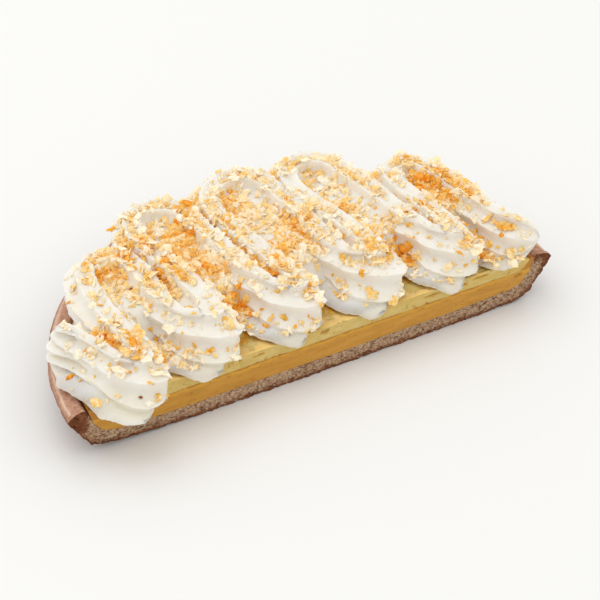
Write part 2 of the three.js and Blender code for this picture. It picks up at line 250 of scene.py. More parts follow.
def wave_stations():
    """Stations along the strand, closer together in its turns, with heading, bend and lean at each."""
    marks = wave_points()
    line = smooth_line([mark[:2] for mark in marks], STEPS_PER_MARK)
    lean = np.array([marks[round(i / STEPS_PER_MARK)][2] for i in range(len(line))])
    travelled = np.concatenate([[0], np.cumsum(np.linalg.norm(np.diff(line, axis=0), axis=1))])
    rough = np.arange(0, travelled[-1], TURN_STEP)
    x, y = (np.interp(rough, travelled, values) for values in line.T)
    heading = np.unwrap(np.arctan2(np.gradient(y), np.gradient(x)))
    turning = smoothed(np.abs(np.gradient(heading)), TURNING_SMOOTHING) / TURN_STEP
    step = TURN_STEP + (STATION_STEP - TURN_STEP) * (1 - smoothstep(turning, *TURNING_RANGE))
    counted = np.concatenate([[0], np.cumsum(TURN_STEP / step[:-1])])
    places = np.interp(np.arange(0, counted[-1]), counted, rough)
    x, y, leans = (np.interp(places, travelled, values) for values in (line[:, 0], line[:, 1], lean))
    heading = np.unwrap(np.arctan2(np.gradient(y, places), np.gradient(x, places)))
    curvature = smoothed(np.gradient(heading, places), BEND_SMOOTHING)
    tips = [travelled[i * STEPS_PER_MARK] for i, mark in enumerate(marks) if mark[3]]
    return {"x": x, "y": y, "heading": heading, "curvature": curvature, "lean": leans, "along": places,
            "tips": tips}


# Near the cut the strand slumps outwards as it turns: how far out the lips lie at each heading,
# for the upper outer lip and the three below it
FRONT_REACH = (24, 46)
HEADINGS = np.radians([-90, -60, -40, -20, -8, 5, 18, 28, 38, 50, 65, 90])
FRONT_LIPS = {
    67.5: [0.8, -1, -0.8, 0, 0.6, 1.8, 4, 5.4, 7, 9, 6, 5],
    22.5: [5.5, 6.5, 7.6, 8.6, 10, 12.6, 15, 17.4, 21, 15, 12, 11],
    -22.5: [6.6, 9.5, 13, 17.3, 18.8, 20.8, 23.6, 19, 16.8, 15.5, 14, 12.5],
    -67.5: [15, 20, 22.5, 24.5, 24, 19, 12.5, 11, 10, 9, 8, 7],
}
LIP_SMOOTHING = 3
INSIDE_LIMIT = 0.9
TERRACE = 6.0
HOLLOW_LOW = 0.25
HOLLOW_HIGH = 0.62
FLAT_SAG = 0.8
SKIRT_TOP = 31.0
SKIRT_LOW = 23.1
LIP_REST = 27.2
LIP_HANG = 3.0
HANG_REACH = 5.0
TAIL_SPREAD = 2.5
TAIL_REACH = (0, 14, 22, 50)
TAIL_UNDERCUT = 8.0
TAIL_UNDERCUT_REACH = 28.0
RUFFLE_DEPTH = 2.5
RUFFLE_SPACING = 5.2
RUFFLE_TWIST = 0.1
RUFFLE_REACH = (12, 32)
RUFFLE_CENTRE = 0.6
ROLL = 0.5
ROLL_WAVES = (0.21, 0.13)
UNDERSIDE_SINE = -0.9
OUTER_COSINE = 0.4


def slump_share(stations):
    """How far the strand has slumped: 1 near the cut and 0 at the back."""
    return 1 - smoothstep(stations["y"], *FRONT_REACH)


def wrapped(angle):
    """An angle brought between minus and plus half a turn."""
    return (angle + np.pi) % (2 * np.pi) - np.pi


def lip_distances(stations):
    """How far across each lip lies at every station, as an array of stations and lips."""
    heading = wrapped(stations["heading"])
    front = slump_share(stations)
    left_over = stations["along"][-1] - stations["along"]
    tail = TAIL_SPREAD * smoothstep(left_over, *TAIL_REACH[:2]) * (1 - smoothstep(left_over, *TAIL_REACH[2:]))
    lips = []
    for i in range(FLUTES):
        angle = (360 / FLUTES * (i + 0.5) + 180) % 360 - 180
        plain = math.cos(math.radians(angle)) * STRAND_HALF_WIDTH * np.ones(len(front))
        slumped = plain
        if angle in FRONT_LIPS:
            leaning = np.interp(heading, HEADINGS, FRONT_LIPS[angle]) * stations["lean"]
            slumped = plain + (leaning + tail - plain) * front
        lips.append(smoothed(slumped, LIP_SMOOTHING))
    return np.stack(lips, axis=1)


def nose_scale(stations):
    """The strand starts and ends in a rounded nose."""
    along = stations["along"]
    scale = np.ones(len(along))
    for (length, smallest), far in ((START_NOSE, along), (END_NOSE, along[-1] - along)):
        nose = np.sqrt(1 - (1 - np.clip(far / length, 0, 1)) ** 2)
        scale = scale * (smallest + (1 - smallest) * nose)
    return scale


def flute_hollow(lips, lip_height, flute, following, share):
    """The point that the hollow between two lips is drawn to.

    Near the cut each outer lip is a step over the next.
    """
    angle = (flute + 1) * 2 * np.pi / FLUTES
    hollow = math.cos(angle) * (STRAND_HALF_WIDTH - FLUTE_DEPTH) * np.ones(len(lips))
    height = math.sin(angle) * (STRAND_HALF_HEIGHT - FLUTE_DEPTH) * np.ones(len(lips))
    if math.sin(angle) < UNDERSIDE_SINE:
        return hollow, height + (lip_height[flute] - FLAT_SAG - height) * share
    if math.cos(angle) < OUTER_COSINE:
        return hollow, height
    lower, upper = sorted((flute, following), key=lambda lip: lip_height[lip])
    stepped = smoothstep(lips[:, lower] - lips[:, upper], -TERRACE, TERRACE)
    rise = HOLLOW_HIGH + (HOLLOW_LOW - HOLLOW_HIGH) * stepped
    step_hollow = np.minimum(lips[:, lower], lips[:, upper]) - FLUTE_UNDERCUT
    step_height = lip_height[lower] + (lip_height[upper] - lip_height[lower]) * rise
    return hollow + (step_hollow - hollow) * share, height + (step_height - height) * share


def settled(y, z, share):
    """The lowest lip lies on the filling and hangs down only in front of the cut."""
    rest = LIP_REST - LIP_HANG * smoothstep(-y, 0, HANG_REACH)
    pressed_z = SKIRT_TOP - (SKIRT_TOP - z) * (SKIRT_TOP - rest) / (SKIRT_TOP - SKIRT_LOW)
    return np.where(z < SKIRT_TOP, z + (pressed_z - z) * share, z)


def strand_section(stations):
    """The fluted section at every station as points across and up, and how near each point is to a lip."""
    lips = lip_distances(stations)
    lip_angle = (np.arange(FLUTES) + 0.5) * 2 * np.pi / FLUTES
    lip_height = np.sin(lip_angle) * STRAND_HALF_HEIGHT - FLUTE_SAG * np.abs(np.cos(lip_angle))
    between = (1 - np.cos(np.pi * np.arange(POINTS_PER_FLUTE) / POINTS_PER_FLUTE)) / 2
    crest = np.tile(np.abs(2 * between - 1) ** 3, FLUTES)
    weights = np.stack([(1 - between) ** 2, 2 * between * (1 - between) * FLUTE_PINCH, between ** 2])
    weights /= weights.sum(axis=0)
    sections = []
    for flute in range(FLUTES):
        following = (flute + 1) % FLUTES
        hollow, hollow_height = flute_hollow(lips, lip_height, flute, following, slump_share(stations))
        ends = np.stack([lips[:, flute], hollow, lips[:, following]], axis=1)
        heights = np.stack([np.full(len(lips), lip_height[flute]), hollow_height,
                            np.full(len(lips), lip_height[following])], axis=1)
        sections.append(np.stack([ends @ weights, heights @ weights], axis=-1))
    section = np.concatenate(sections, axis=1)
    return section, np.broadcast_to(crest, section.shape[:2])


SPINE_TOP = STRAND_HALF_HEIGHT - FLUTE_DEPTH
SPINE_LOWEST = 11.2
SPINE_POINTS = 18


def spine_section(stations):
    """Points straight up through the middle of the section, inside it everywhere."""
    low = -(SPINE_TOP + (SPINE_LOWEST - SPINE_TOP) * slump_share(stations))
    share = np.linspace(0, 1, SPINE_POINTS)
    up = low[:, None] + (SPINE_TOP - low[:, None]) * share
    return np.stack([np.zeros(up.shape), up], axis=-1)


def strand_rings(stations, section):
    """A section along the strand as an array of stations, section points and x, y, z."""
    front = slump_share(stations) * np.clip(np.cos(wrapped(stations["heading"])), 0, 1)
    scale = nose_scale(stations)[:, None]
    across, up = section[..., 0] * scale, section[..., 1] * scale
    bend = stations["curvature"][:, None]
    limit = INSIDE_LIMIT / np.maximum(np.abs(bend), 1e-6)
    across = np.where(bend > 0, np.maximum(across, -limit), np.minimum(across, limit))
    right = np.stack([np.sin(stations["heading"]), -np.cos(stations["heading"])], axis=1)
    roll = ROLL * sum(np.sin(stations[axis] * wave) for axis, wave in zip("xy", ROLL_WAVES))[:, None]
    z = STRAND_HEIGHT - FRONT_DROP * front[:, None] + roll + up
    ruffled = RUFFLE_DEPTH * (1 - smoothstep(stations["along"], *RUFFLE_REACH))[:, None]
    twist = RUFFLE_TWIST * stations["along"][:, None]
    ridges = np.sin(2 * np.pi * z / RUFFLE_SPACING + twist) - RUFFLE_CENTRE
    across = across + ruffled * ridges * (across > 0)
    left_over = (stations["along"][-1] - stations["along"])[:, None]
    undercut = TAIL_UNDERCUT * np.clip(-up / STRAND_HALF_HEIGHT, 0, 1)
    undercut = undercut * (1 - smoothstep(left_over, 0, TAIL_UNDERCUT_REACH))
    x = stations["x"][:, None] + right[:, :1] * across + right[:, 1:] * undercut
    y = stations["y"][:, None] + right[:, 1:] * across - right[:, :1] * undercut
    z = settled(y, z, slump_share(stations)[:, None])
    return np.stack([x, y, z], axis=-1)


LIP_WEAR = 0.6
LIP_WEAR_SIZE = 1.5
FINE_WEAR_SIZE = LIP_WEAR_SIZE / 2.2
SWELL = 0.3
SWELL_SIZE = 9.0
LIP_WAVE = 0.6
LIP_WAVE_SIZE = 5.0
LIP_WAVE_CENTRE = 0.6


def worn(rings, crest):
    """The lips of the flutes are a little ragged, and the strand swells and thins along its way."""
    middle = rings.mean(axis=1, keepdims=True)
    outward = rings - middle
    outward /= np.maximum(np.linalg.norm(outward, axis=2, keepdims=True), 1e-6)
    flat = rings.reshape(-1, 3)
    wear = (field(flat, LIP_WEAR_SIZE, 1) + field(flat, FINE_WEAR_SIZE, 2) - 2).reshape(crest.shape) / 2
    swell = (field(flat, SWELL_SIZE, 3) - 1).reshape(crest.shape)
    wave = (field(flat, LIP_WAVE_SIZE, 4) - LIP_WAVE_CENTRE).reshape(crest.shape)
    return rings + outward * ((LIP_WEAR * wear + LIP_WAVE * wave) * crest ** 2 + SWELL * swell)[..., None]


def end_faces(ring, spine, ring_start, spine_start):
    """Triangles that close a ring: each of its points is joined to the point of the spine at its height."""
    level = np.abs(ring[:, None, 2] - spine[None, :, 2]).argmin(axis=1)
    faces = []
    for j in range(len(ring)):
        following = (j + 1) % len(ring)
        faces.append([ring_start + j, ring_start + following, spine_start + level[j]])
        step = 1 if level[following] > level[j] else -1
        for k in range(level[j], level[following], step):
            faces.append([ring_start + following, spine_start + k + step, spine_start + k])
    return faces


def closed_tube(rings, spines, name):
    """A closed body through equal rings; its two ends are closed on the spines of the end rings."""
    count, around = rings.shape[:2]
    faces = [face[::-1] for face in grid_faces(count, around, wrap=True)]
    last = (count - 1) * around
    faces += end_faces(rings[0], spines[0], 0, count * around)
    faces += [face[::-1] for face in end_faces(rings[-1], spines[-1], last, count * around + len(spines[0]))]
    points = np.vstack([rings.reshape(-1, 3), spines[0], spines[-1]])
    return mesh_object(name, points, faces, [])


def turned_body(profile, segments, name):
    """A closed turned body from a profile of radius and height that starts and ends on the axis."""
    profile = np.asarray(profile, float)
    angle = 2 * np.pi * np.arange(segments) / segments
    ring = profile[1:-1]
    points = [[0, 0, profile[0][1]], [0, 0, profile[-1][1]]]
    for radius, height in ring:
        points += [[radius * math.cos(a), radius * math.sin(a), height] for a in angle]
    faces = grid_faces(len(ring), segments, start=2, wrap=True)
    top = 2 + (len(ring) - 1) * segments
    for j in range(segments):
        following = (j + 1) % segments
        faces.append([0, 2 + following, 2 + j])
        faces.append([1, top + j, top + following])
    return mesh_object(name, points, faces, [])


def box_body(low, high, name):
    """A closed box between two corners."""
    points = np.array(list(itertools.product(*zip(low, high))), float)
    faces = [[0, 1, 3, 2], [4, 6, 7, 5], [0, 4, 5, 1], [2, 3, 7, 6], [0, 2, 6, 4], [1, 5, 7, 3]]
    return mesh_object(name, points, faces, [])


def combined(base, others, operation):
    """Joins bodies to the base, or cuts them from it, and keeps only the result."""
    group = bpy.data.collections.new("tools")
    for other in others:
        group.objects.link(other)
    modifier = base.modifiers.new("combine", "BOOLEAN")
    modifier.operation = operation
    modifier.solver = "MANIFOLD"
    modifier.operand_type = "COLLECTION"
    modifier.collection = group
    graph = bpy.context.evaluated_depsgraph_get()
    result = bpy.data.meshes.new_from_object(base.evaluated_get(graph))
    base.modifiers.clear()
    old = base.data
    base.data = result
    bpy.data.meshes.remove(old)
    for other in others:
        bpy.data.objects.remove(other)
    bpy.data.collections.remove(group)
    return base


def tucked(ring, steps):
    """A ring drawn in all round, so that it ends inside the next leg."""
    outward = ring - ring.mean(axis=0)
    facing = np.cross(outward, np.roll(outward, -1, axis=0)).sum(axis=0)
    along = np.roll(ring, -1, axis=0) - np.roll(ring, 1, axis=0)
    inward = np.cross(facing, along)
    inward /= np.maximum(np.linalg.norm(inward, axis=1, keepdims=True), 1e-6)
    return ring + inward * LEG_TUCK * steps


def cream_legs(rings, spines, stations):
    """The strand as closed legs that meet at the tips of the turns and end inside one another."""
    tips = [int(np.searchsorted(stations["along"], tip)) for tip in stations["tips"]]
    cuts = [0, *tips, len(rings) - 1]
    legs = []
    for i, (start, end) in enumerate(zip(cuts, cuts[1:])):
        before = [tucked(rings[start - k], k) for k in range(LEG_OVERLAP, 0, -1) if start > 0]
        after = [tucked(rings[end + k], k) for k in range(1, LEG_OVERLAP + 1) if end + k < len(rings)]
        ends = spines[[start - len(before), end + len(after)]]
        legs.append(closed_tube(np.array([*before, *rings[start:end + 1], *after]), ends, f"leg_{i}"))
    return legs


def room_profile():
    """What the cream keeps clear of: the filled shell, as a profile of radius and height."""
    sunk = 0.2
    rim_inside = RIM_RADIUS - RIM_WIDTH
    return [(0, -1), (RIM_RADIUS + GAP, -1), (RIM_RADIUS + GAP, RIM_OUTER_HEIGHT + GAP),
            (RIM_RADIUS - 1, RIM_OUTER_HEIGHT + 1.2 + GAP), (RIM_RADIUS - 5, RIM_INNER_HEIGHT + 0.3 + GAP),
            (rim_inside, RIM_INNER_HEIGHT + 0.6 + GAP), (rim_inside - 5, VANILLA_TOP - sunk),
            (0, VANILLA_TOP - sunk)]


def heap_core(core):
    """The cream pressed under the strands is heaped in the middle and thins out to the edge and the cut."""
    points = tart_points(core)
    radius = np.hypot(points[:, 0], points[:, 1])
    heap = 1 - smoothstep(radius, CORE_RADIUS - CORE_SLOPE, CORE_RADIUS)
    heap *= smoothstep(points[:, 1], CORE_FRONT, CORE_FRONT + CORE_SLOPE)
    bumps = CORE_BUMPS * field(points, CORE_BUMP_SIZE, 11) * heap
    raised = points[:, 2] > VANILLA_TOP
    points[:, 2] += np.where(raised, heap * (CORE_HIGH - CORE_LOW) + bumps, 0)
    core.data.vertices.foreach_set("co", (points * MM + CUT_PLACE).ravel())


def cream_body():
    """The piped strand and the cream pressed under it, clear of the shell and the fillings."""
    stations = wave_stations()
    section, crest = strand_section(stations)
    rings = worn(strand_rings(stations, section), crest)
    legs = cream_legs(rings, strand_rings(stations, spine_section(stations)), stations)
    outline = [(0, VANILLA_TOP - 1), (CORE_RADIUS, VANILLA_TOP - 1)]
    outline += [(radius, CORE_LOW) for radius in np.linspace(CORE_RADIUS, 0, CORE_RINGS)]
    core = turned_body(outline, TURNED_SEGMENTS, "core")
    heap_core(core)
    core = combined(core, [box_body(*CORE_CUTTER, "front")], "DIFFERENCE")
    cream = combined(core, legs, "UNION")
    room = turned_body(room_profile(), TURNED_SEGMENTS, "room")
    room = combined(room, [box_body(*ROOM_CUTTER, "ahead")], "DIFFERENCE")
    cream = combined(cream, [room], "DIFFERENCE")
    cream.name = "piped_cream"
    return cream


# The shell and the fillings. Each layer lies between a lower and an upper profile of radius and height.

CRUST_LOWER = [(0, 0), (72.4, 0), (97.4, 0.5), (111.4, 1.5), (118, 3.8), (121, 9), (127.4, 17.5),
               (RIM_RADIUS, 21.4)]
CRUST_UPPER = [(0, BASE_THICKNESS), (72, BASE_THICKNESS), (105, 10), (112, 12), (116.5, 18), (119.3, 25.2),
               (120.5, RIM_INNER_HEIGHT), (125, 26.4), (128.6, 24.8), (RIM_RADIUS, 23.2)]
CUSTARD_LOWER = [(0, 8.9), (72, 8.9), (105, 9.9), (112, 11.9), (116.6, 18), (118.6, 25.4)]
CUSTARD_UPPER = [(0, CUSTARD_TOP), (109.1, CUSTARD_TOP), (113.1, 21.2), (115.5, 24.4), (117.5, 26.4),
                 (118.6, 25.6)]
VANILLA_LOWER = [(0, 19.9), (109.1, 19.9), (113.1, 21.1), (115.5, 24.3), (116.2, 25.4)]
VANILLA_UPPER = [(0, VANILLA_TOP), (107.7, VANILLA_TOP), (113.5, 26.8), (115.6, 26.2), (116.2, 25.6)]

FRONT_DEPTH = 2.4
REST_START = FRONT_DEPTH * 0.6
MIDDLE_RADIUS = 0.5
COARSE_STEP = 8
FINE_RADIUS = 100
FINE_STEP = 1.0

WANDER_WAVES = [(7, 1, 1), (17, 2.1, 0.7), (29, 0, 0.5)]
SHELL_WANDER = 1.3
SHELL_INSET = 0.5
SHELL_UNEVENNESS = 0.5
LIFT_WAVES = 11
LEFT_LIFT = 1.5
LIFT_RANGE = (50, 115)


def pressed(points):
    """The shell is pressed by hand: its wall and rim wander and its left underside is lifted a little."""
    x, y, z = np.moveaxis(points, -1, 0)
    angle = np.arctan2(y, x)
    share = smoothstep(np.hypot(x, y), RIM_RADIUS - RIM_WIDTH, RIM_RADIUS)
    most = sum(size for _, _, size in WANDER_WAVES)
    wander = sum(size * np.sin(count * angle + phase) for count, phase, size in WANDER_WAVES)
    outward = 1 + share * (SHELL_WANDER * (wander - most) / (2 * most) - SHELL_INSET) / RIM_RADIUS
    low = z < BASE_THICKNESS / 2
    uneven = share * SHELL_UNEVENNESS * np.sin(LIFT_WAVES * angle)
    lift = np.where(low, LEFT_LIFT * smoothstep(-x, *LIFT_RANGE), uneven)
    return np.stack([x * outward, y * outward, z + lift], axis=-1)


def envelope(radius, line):
    """The height of a profile at a radius."""
    return np.interp(radius, *np.array(line, float).T)


def front_rings(lower, upper, depth, step, rows, depth_rows):
    """Columns across the cut as rings: up the cut face, back over the top, down and forward again.

    Also says which points of every ring lie on the cut and which on the top.
    """
    radius = lower[-1][0]
    columns = np.linspace(-radius, radius, int(round(2 * radius / step)) + 1)
    low, high = envelope(np.abs(columns), lower), envelope(np.abs(columns), upper)
    up = np.linspace(0, 1, rows)
    back = np.linspace(0, 1, depth_rows)[1:]
    share_y = np.concatenate([np.zeros(rows), back, np.ones(3), [0.5]])
    share_z = np.concatenate([up, np.ones(len(back)), [0.66, 0.33, 0], [0]])
    y = np.broadcast_to(share_y * depth, (len(columns), len(share_y)))
    z = low[:, None] + (high - low)[:, None] * share_z
    x = columns[:, None] * np.sqrt(1 - (y / radius) ** 2)
    number = np.arange(len(share_y))
    on_cut = number < rows
    on_top = ~on_cut & (number < rows + len(back))
    return np.stack([x, y, z], axis=-1), on_cut, on_top


def rest_rings(lower, upper, segments):
    """Rings of the turned rest of a layer, which starts just behind the cut face."""
    radius = lower[-1][0]
    coarse = np.arange(COARSE_STEP, FINE_RADIUS, COARSE_STEP)
    fine = np.arange(FINE_RADIUS, radius, FINE_STEP)
    places = np.concatenate([[MIDDLE_RADIUS], coarse, fine, [radius]])
    outline = [(r, envelope(r, lower)) for r in places] + [(r, envelope(r, upper)) for r in places[::-1]]
    outline = np.array(outline)
    angle = np.linspace(0, np.pi, segments)
    x = np.cos(angle)[:, None] * outline[:, 0]
    y = REST_START + np.sin(angle)[:, None] * outline[:, 0] * (1 - REST_START / radius)
    z = np.broadcast_to(outline[:, 1], x.shape)
    return np.stack([x, y, z], axis=-1)


def layer(name, parts, material, values=None):
    """One layer of the tart from its front and its rest, each a row of equal rings with flat ends.

    The values name what the material reads: for each part an array, or one number for all its points.
    """
    points, faces = [], []
    for rings in parts:
        start = sum(len(part) for part in points)
        count, around = rings.shape[:2]
        points.append(rings.reshape(-1, 3))
        faces += grid_faces(count, around, start=start, wrap=True)
        faces.append([start + j for j in range(around)])
        faces.append([start + (count - 1) * around + j for j in range(around)][::-1])
    made = mesh_object(name, np.vstack(points), faces, [material])
    for key, of_parts in (values or {}).items():
        filled = [np.broadcast_to(value, rings.shape[:2]).ravel() for value, rings in zip(of_parts, parts)]
        set_attribute(made, key, np.concatenate(filled))
    return made


# How the crust tears at the cut, how it browns and how rough its outside is
CRUMB_SIZE = (2.2, 2.0, 1.1)
PORE_SIZE = (1.6, 1.6, 1.0)
PORE_LEVEL = 0.28
TEAR = 0.35
CRUMB_TEAR = 0.5
PORE_TEAR = 2.2
DEEPEST_TEAR = FRONT_DEPTH * 0.55
# The tear depth at which the painted shade in the cut is darkest
DARKEST_TEAR = 1.4
JAG = 0.45
JAG_SIZE = 2.6
JAG_LEVEL = 0.25
JAG_HEIGHT = 1.5
CORNER_JAG = 1.3
CORNER_RANGE = (112, 120)
CORNER_BROWN_RANGE = (117, 122)
CORNER_BROWN_HEIGHT = (10, 17)
RIGHT_CORNER_SHIFT = 5
LEAST_HEIGHT = 0.02
BROWN_DEPTH = 1.7
WALL_RADIUS = 112
RIM_EDGE_RADIUS = 119
OUTSIDE_BUMP = 0.3
OUTSIDE_BUMP_SIZE = 5
OUTSIDE_GRAIN = 0.35
OUTSIDE_GRAIN_SIZE = 2.2
# Where a painted highlight runs along the rim's outer edge
HIGHLIGHT_RADIUS = RIM_RADIUS - 2.0
HIGHLIGHT_WIDTH = 0.7
HIGHLIGHT_HEIGHT = 22


def crust_front():
    """The crumbly cut of the crust, with how browned, how deep and how much outside its points are."""
    plain, on_cut, _ = front_rings(CRUST_LOWER, CRUST_UPPER, FRONT_DEPTH, 0.4, 22, 4)
    x, _, z = np.moveaxis(plain, -1, 0)
    side = np.abs(x)
    low, high = envelope(side, CRUST_LOWER), envelope(side, CRUST_UPPER)
    crumb = flat_fractal(plain, CRUMB_SIZE, 21)
    pores = np.clip(flat_fractal(plain, PORE_SIZE, 31) - PORE_LEVEL, 0, 1)
    torn = TEAR + CRUMB_TEAR * crumb + PORE_TEAR * pores
    jag = np.clip(JAG * flat_fractal(plain * (1, 0, 1), JAG_SIZE, 41) + JAG_LEVEL, 0, 1)
    jag = np.minimum(jag * (1 + CORNER_JAG * smoothstep(side, *CORNER_RANGE)), np.maximum(high - z, 0))
    front = pressed(plain)
    front[..., 1] += np.where(on_cut, np.clip(torn, 0, DEEPEST_TEAR), 0)
    front[..., 2] += np.where(z - low < JAG_HEIGHT, jag, 0)
    front[..., 2] = np.maximum(front[..., 2], LEAST_HEIGHT)
    edge = np.minimum(z - low, np.where(side > RIM_EDGE_RADIUS, high - z, np.inf))
    brown_depth = BROWN_DEPTH * np.where(side > WALL_RADIUS, 2, 1)
    bake = np.exp(-np.maximum(edge, 0) / brown_depth) + 0.175 * crumb
    corner = smoothstep(np.where(x > 0, x - RIGHT_CORNER_SHIFT, -x), *CORNER_BROWN_RANGE)
    corner = corner * smoothstep(z, *CORNER_BROWN_HEIGHT) * (0.8 + 0.4 * crumb)
    bake = np.where(on_cut, np.clip(np.maximum(bake, corner), 0, 1), 1)
    # Painted shade: the cut is darker where it is torn deeper.
    deep = np.where(on_cut, np.clip(torn, 0, DARKEST_TEAR) / DARKEST_TEAR, 0)
    return front, bake, deep, ~on_cut


def crust_rest():
    """The outside of the crust with its grain, and a painted highlight that makes the rim's outer edge paler.
    """
    plain = rest_rings(CRUST_LOWER, CRUST_UPPER, 420)
    turned_radius = np.hypot(plain[..., 0], plain[..., 1])
    rest = pressed(plain)
    flat = rest.reshape(-1, 3)
    radius = np.hypot(flat[:, 0], flat[:, 1])[:, None]
    bumps = np.stack([fractal(flat, OUTSIDE_BUMP_SIZE, seed) for seed in (51, 61)], axis=1)
    grain = np.stack([fractal(flat, OUTSIDE_GRAIN_SIZE, seed, 2) for seed in (53, 63)], axis=1)
    push = (radius > FINE_RADIUS) * (OUTSIDE_BUMP * (bumps - 0.5) + OUTSIDE_GRAIN * (grain - 0.6))
    flat[:, :2] *= 1 + push[:, :1] / np.maximum(radius, 1)
    flat[:, 2] += np.where(flat[:, 2] > BASE_THICKNESS / 3, push[:, 1], 0)
    # Painted highlight: a thin pale line along the rim's outer edge, where light catches it.
    highlight = 0.8 * np.exp(-((turned_radius - HIGHLIGHT_RADIUS) / HIGHLIGHT_WIDTH) ** 2)
    return rest, highlight * (rest[..., 2] > HIGHLIGHT_HEIGHT)


def crust_piece():
    """The baked shell with its crumbly cut."""
    front, bake, deep, skin = crust_front()
    rest, highlight = crust_rest()
    values = {"bake": (bake, 1), "deep": (deep, 0), "edge": (0, highlight), "skin": (skin, 1)}
    made = layer("crust_shell", [front, rest], crust_material(), values)
    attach(made, "root")
    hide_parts("crust")


# Torn pits in the cut of each filling: x, z, half length, half height and depth
VANILLA_PITS = [(1, 24.6, 2.6, 1.6, 3.5), (60, 24.2, 5.5, 0.8, 3), (76, 23.6, 4.6, 0.9, 3),
                (88, 24.8, 5, 0.7, 3), (-34, 24.4, 3.4, 0.7, 2.4), (28, 23.4, 4, 0.7, 2.4)]
CUSTARD_PITS = [(-6, 19.7, 9.5, 0.8, 3), (110, 17.6, 2.6, 1.3, 4), (-70, 15.6, 2.2, 0.8, 2)]
PIT_WANDER = 0.5
PIT_WANDER_SIZE = 2.5


def pit_depth(points, pits):
    """How deep the torn pits are at each point of a cut face."""
    shift = PIT_WANDER * flat_fractal(points, PIT_WANDER_SIZE, 71)
    depth = np.zeros(points.shape[:-1])
    for x, z, half_length, half_height, deepest in pits:
        far = ((points[..., 0] - x) / half_length) ** 2 + ((points[..., 2] + shift - z) / half_height) ** 2
        depth = np.maximum(depth, deepest * 0.5 * np.sqrt(np.clip(1 - far, 0, 1)))
    return depth


CUSTARD_TEAR = 0.2
CUSTARD_DEEPEST = FRONT_DEPTH * 0.58
CUSTARD_SAG = 0.3
CUSTARD_SAG_SIZE = 14
CUSTARD_SAG_HEIGHT = (16, 20)


def custard_piece():
    """The egg custard: smeared by the knife, with small specks and a few pits."""
    front, on_cut, _ = front_rings(CUSTARD_LOWER, CUSTARD_UPPER, FRONT_DEPTH, 0.5, 26, 4)
    smear = 0.16 * flat_fractal(front, (16, 4, 1.1), 81) + 0.08 * flat_fractal(front, 1.6, 85)
    sag = CUSTARD_SAG * flat_fractal(front * (1, 0, 0), CUSTARD_SAG_SIZE, 88)
    specks = 0.8 * np.clip(flat_fractal(front, (2.2, 2, 1.2), 91) - 0.52, 0, 1) / 0.3
    torn = CUSTARD_TEAR + smear + pit_depth(front, CUSTARD_PITS) + specks
    front[..., 1] += np.where(on_cut, np.clip(torn, 0, CUSTARD_DEEPEST), 0)
    front[..., 2] += sag * smoothstep(front[..., 2], *CUSTARD_SAG_HEIGHT)
    rest = rest_rings(CUSTARD_LOWER, CUSTARD_UPPER, 160)
    made = layer("custard_filling", [front, rest], custard_material())
    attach(made, "root")
    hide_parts("custard")


VANILLA_DEPTH = 30.0
VANILLA_TEAR = 0.25
VANILLA_DEEPEST = 1.8
TOP_TEAR = 2.6
TOP_TEAR_SIZE = (9, 6, 9)
TOP_ROUGH = 0.3
TOP_ROUGH_SIZE = 2.4
TOP_START = (0.5, 3)
# Where painted shade falls on the vanilla top under the whipped cream: from how far back, and how strong
UNDER_CREAM_SHADE_START = (4, 11)
UNDER_CREAM_SHADE = 0.9
REST_SUNK = 0.35
REST_SUNK_HEIGHT = 24


def vanilla_piece():
    """The vanilla cream: airy at the cut, with a torn top that runs back under the whipped cream."""
    front, on_cut, on_top = front_rings(VANILLA_LOWER, VANILLA_UPPER, VANILLA_DEPTH, 0.5, 18, 46)
    smear = 0.22 * flat_fractal(front, (12, 4, 1.0), 101)
    pits = pit_depth(front, VANILLA_PITS)
    bubbles = np.clip(flat_fractal(front, (1.9, 1.6, 0.9), 111) - 0.42, 0, 1) * 3
    front[..., 1] += np.where(on_cut, np.clip(VANILLA_TEAR + smear + pits + bubbles, 0, VANILLA_DEEPEST), 0)
    torn = np.clip(flat_fractal(front * (1, 1, 0), TOP_TEAR_SIZE, 121) - 0.12, 0, 1)
    rough = flat_fractal(front * (1, 1, 0), TOP_ROUGH_SIZE, 131)
    back = smoothstep(front[..., 1], *TOP_START)
    sunk = VANILLA_TEAR + TOP_TEAR * torn * (1 + 2 * TOP_ROUGH * rough) + TOP_ROUGH * rough
    front[..., 2] -= np.where(on_top, back * sunk, 0)
    rest = rest_rings(VANILLA_LOWER, VANILLA_UPPER, 160)
    rest[..., 2] -= np.where(rest[..., 2] > REST_SUNK_HEIGHT, REST_SUNK, 0)
    # Painted shade: the top turns golden where it is torn and where the whipped cream covers it, and the cut
    # where it has pits and bubbles; the rest of the open top is marked for painted light.
    under_cream_shade = UNDER_CREAM_SHADE * smoothstep(front[..., 1] + 3 * rough, *UNDER_CREAM_SHADE_START)
    deep = np.where(on_top, np.clip(torn * 2 + under_cream_shade, 0, 1) * back, 0)
    deep = deep + np.where(on_cut, np.clip(pits + bubbles, 0, 1), 0)
    values = {"top": (np.where(on_top, 1 - under_cream_shade, 0), 0), "deep": (deep, 0)}
    made = layer("vanilla_filling", [front, rest], vanilla_material(), values)
    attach(made, "root")
    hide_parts("vanilla_cream")


# The crumble: where it is heaped and where the cream is bare, as x, y and reach

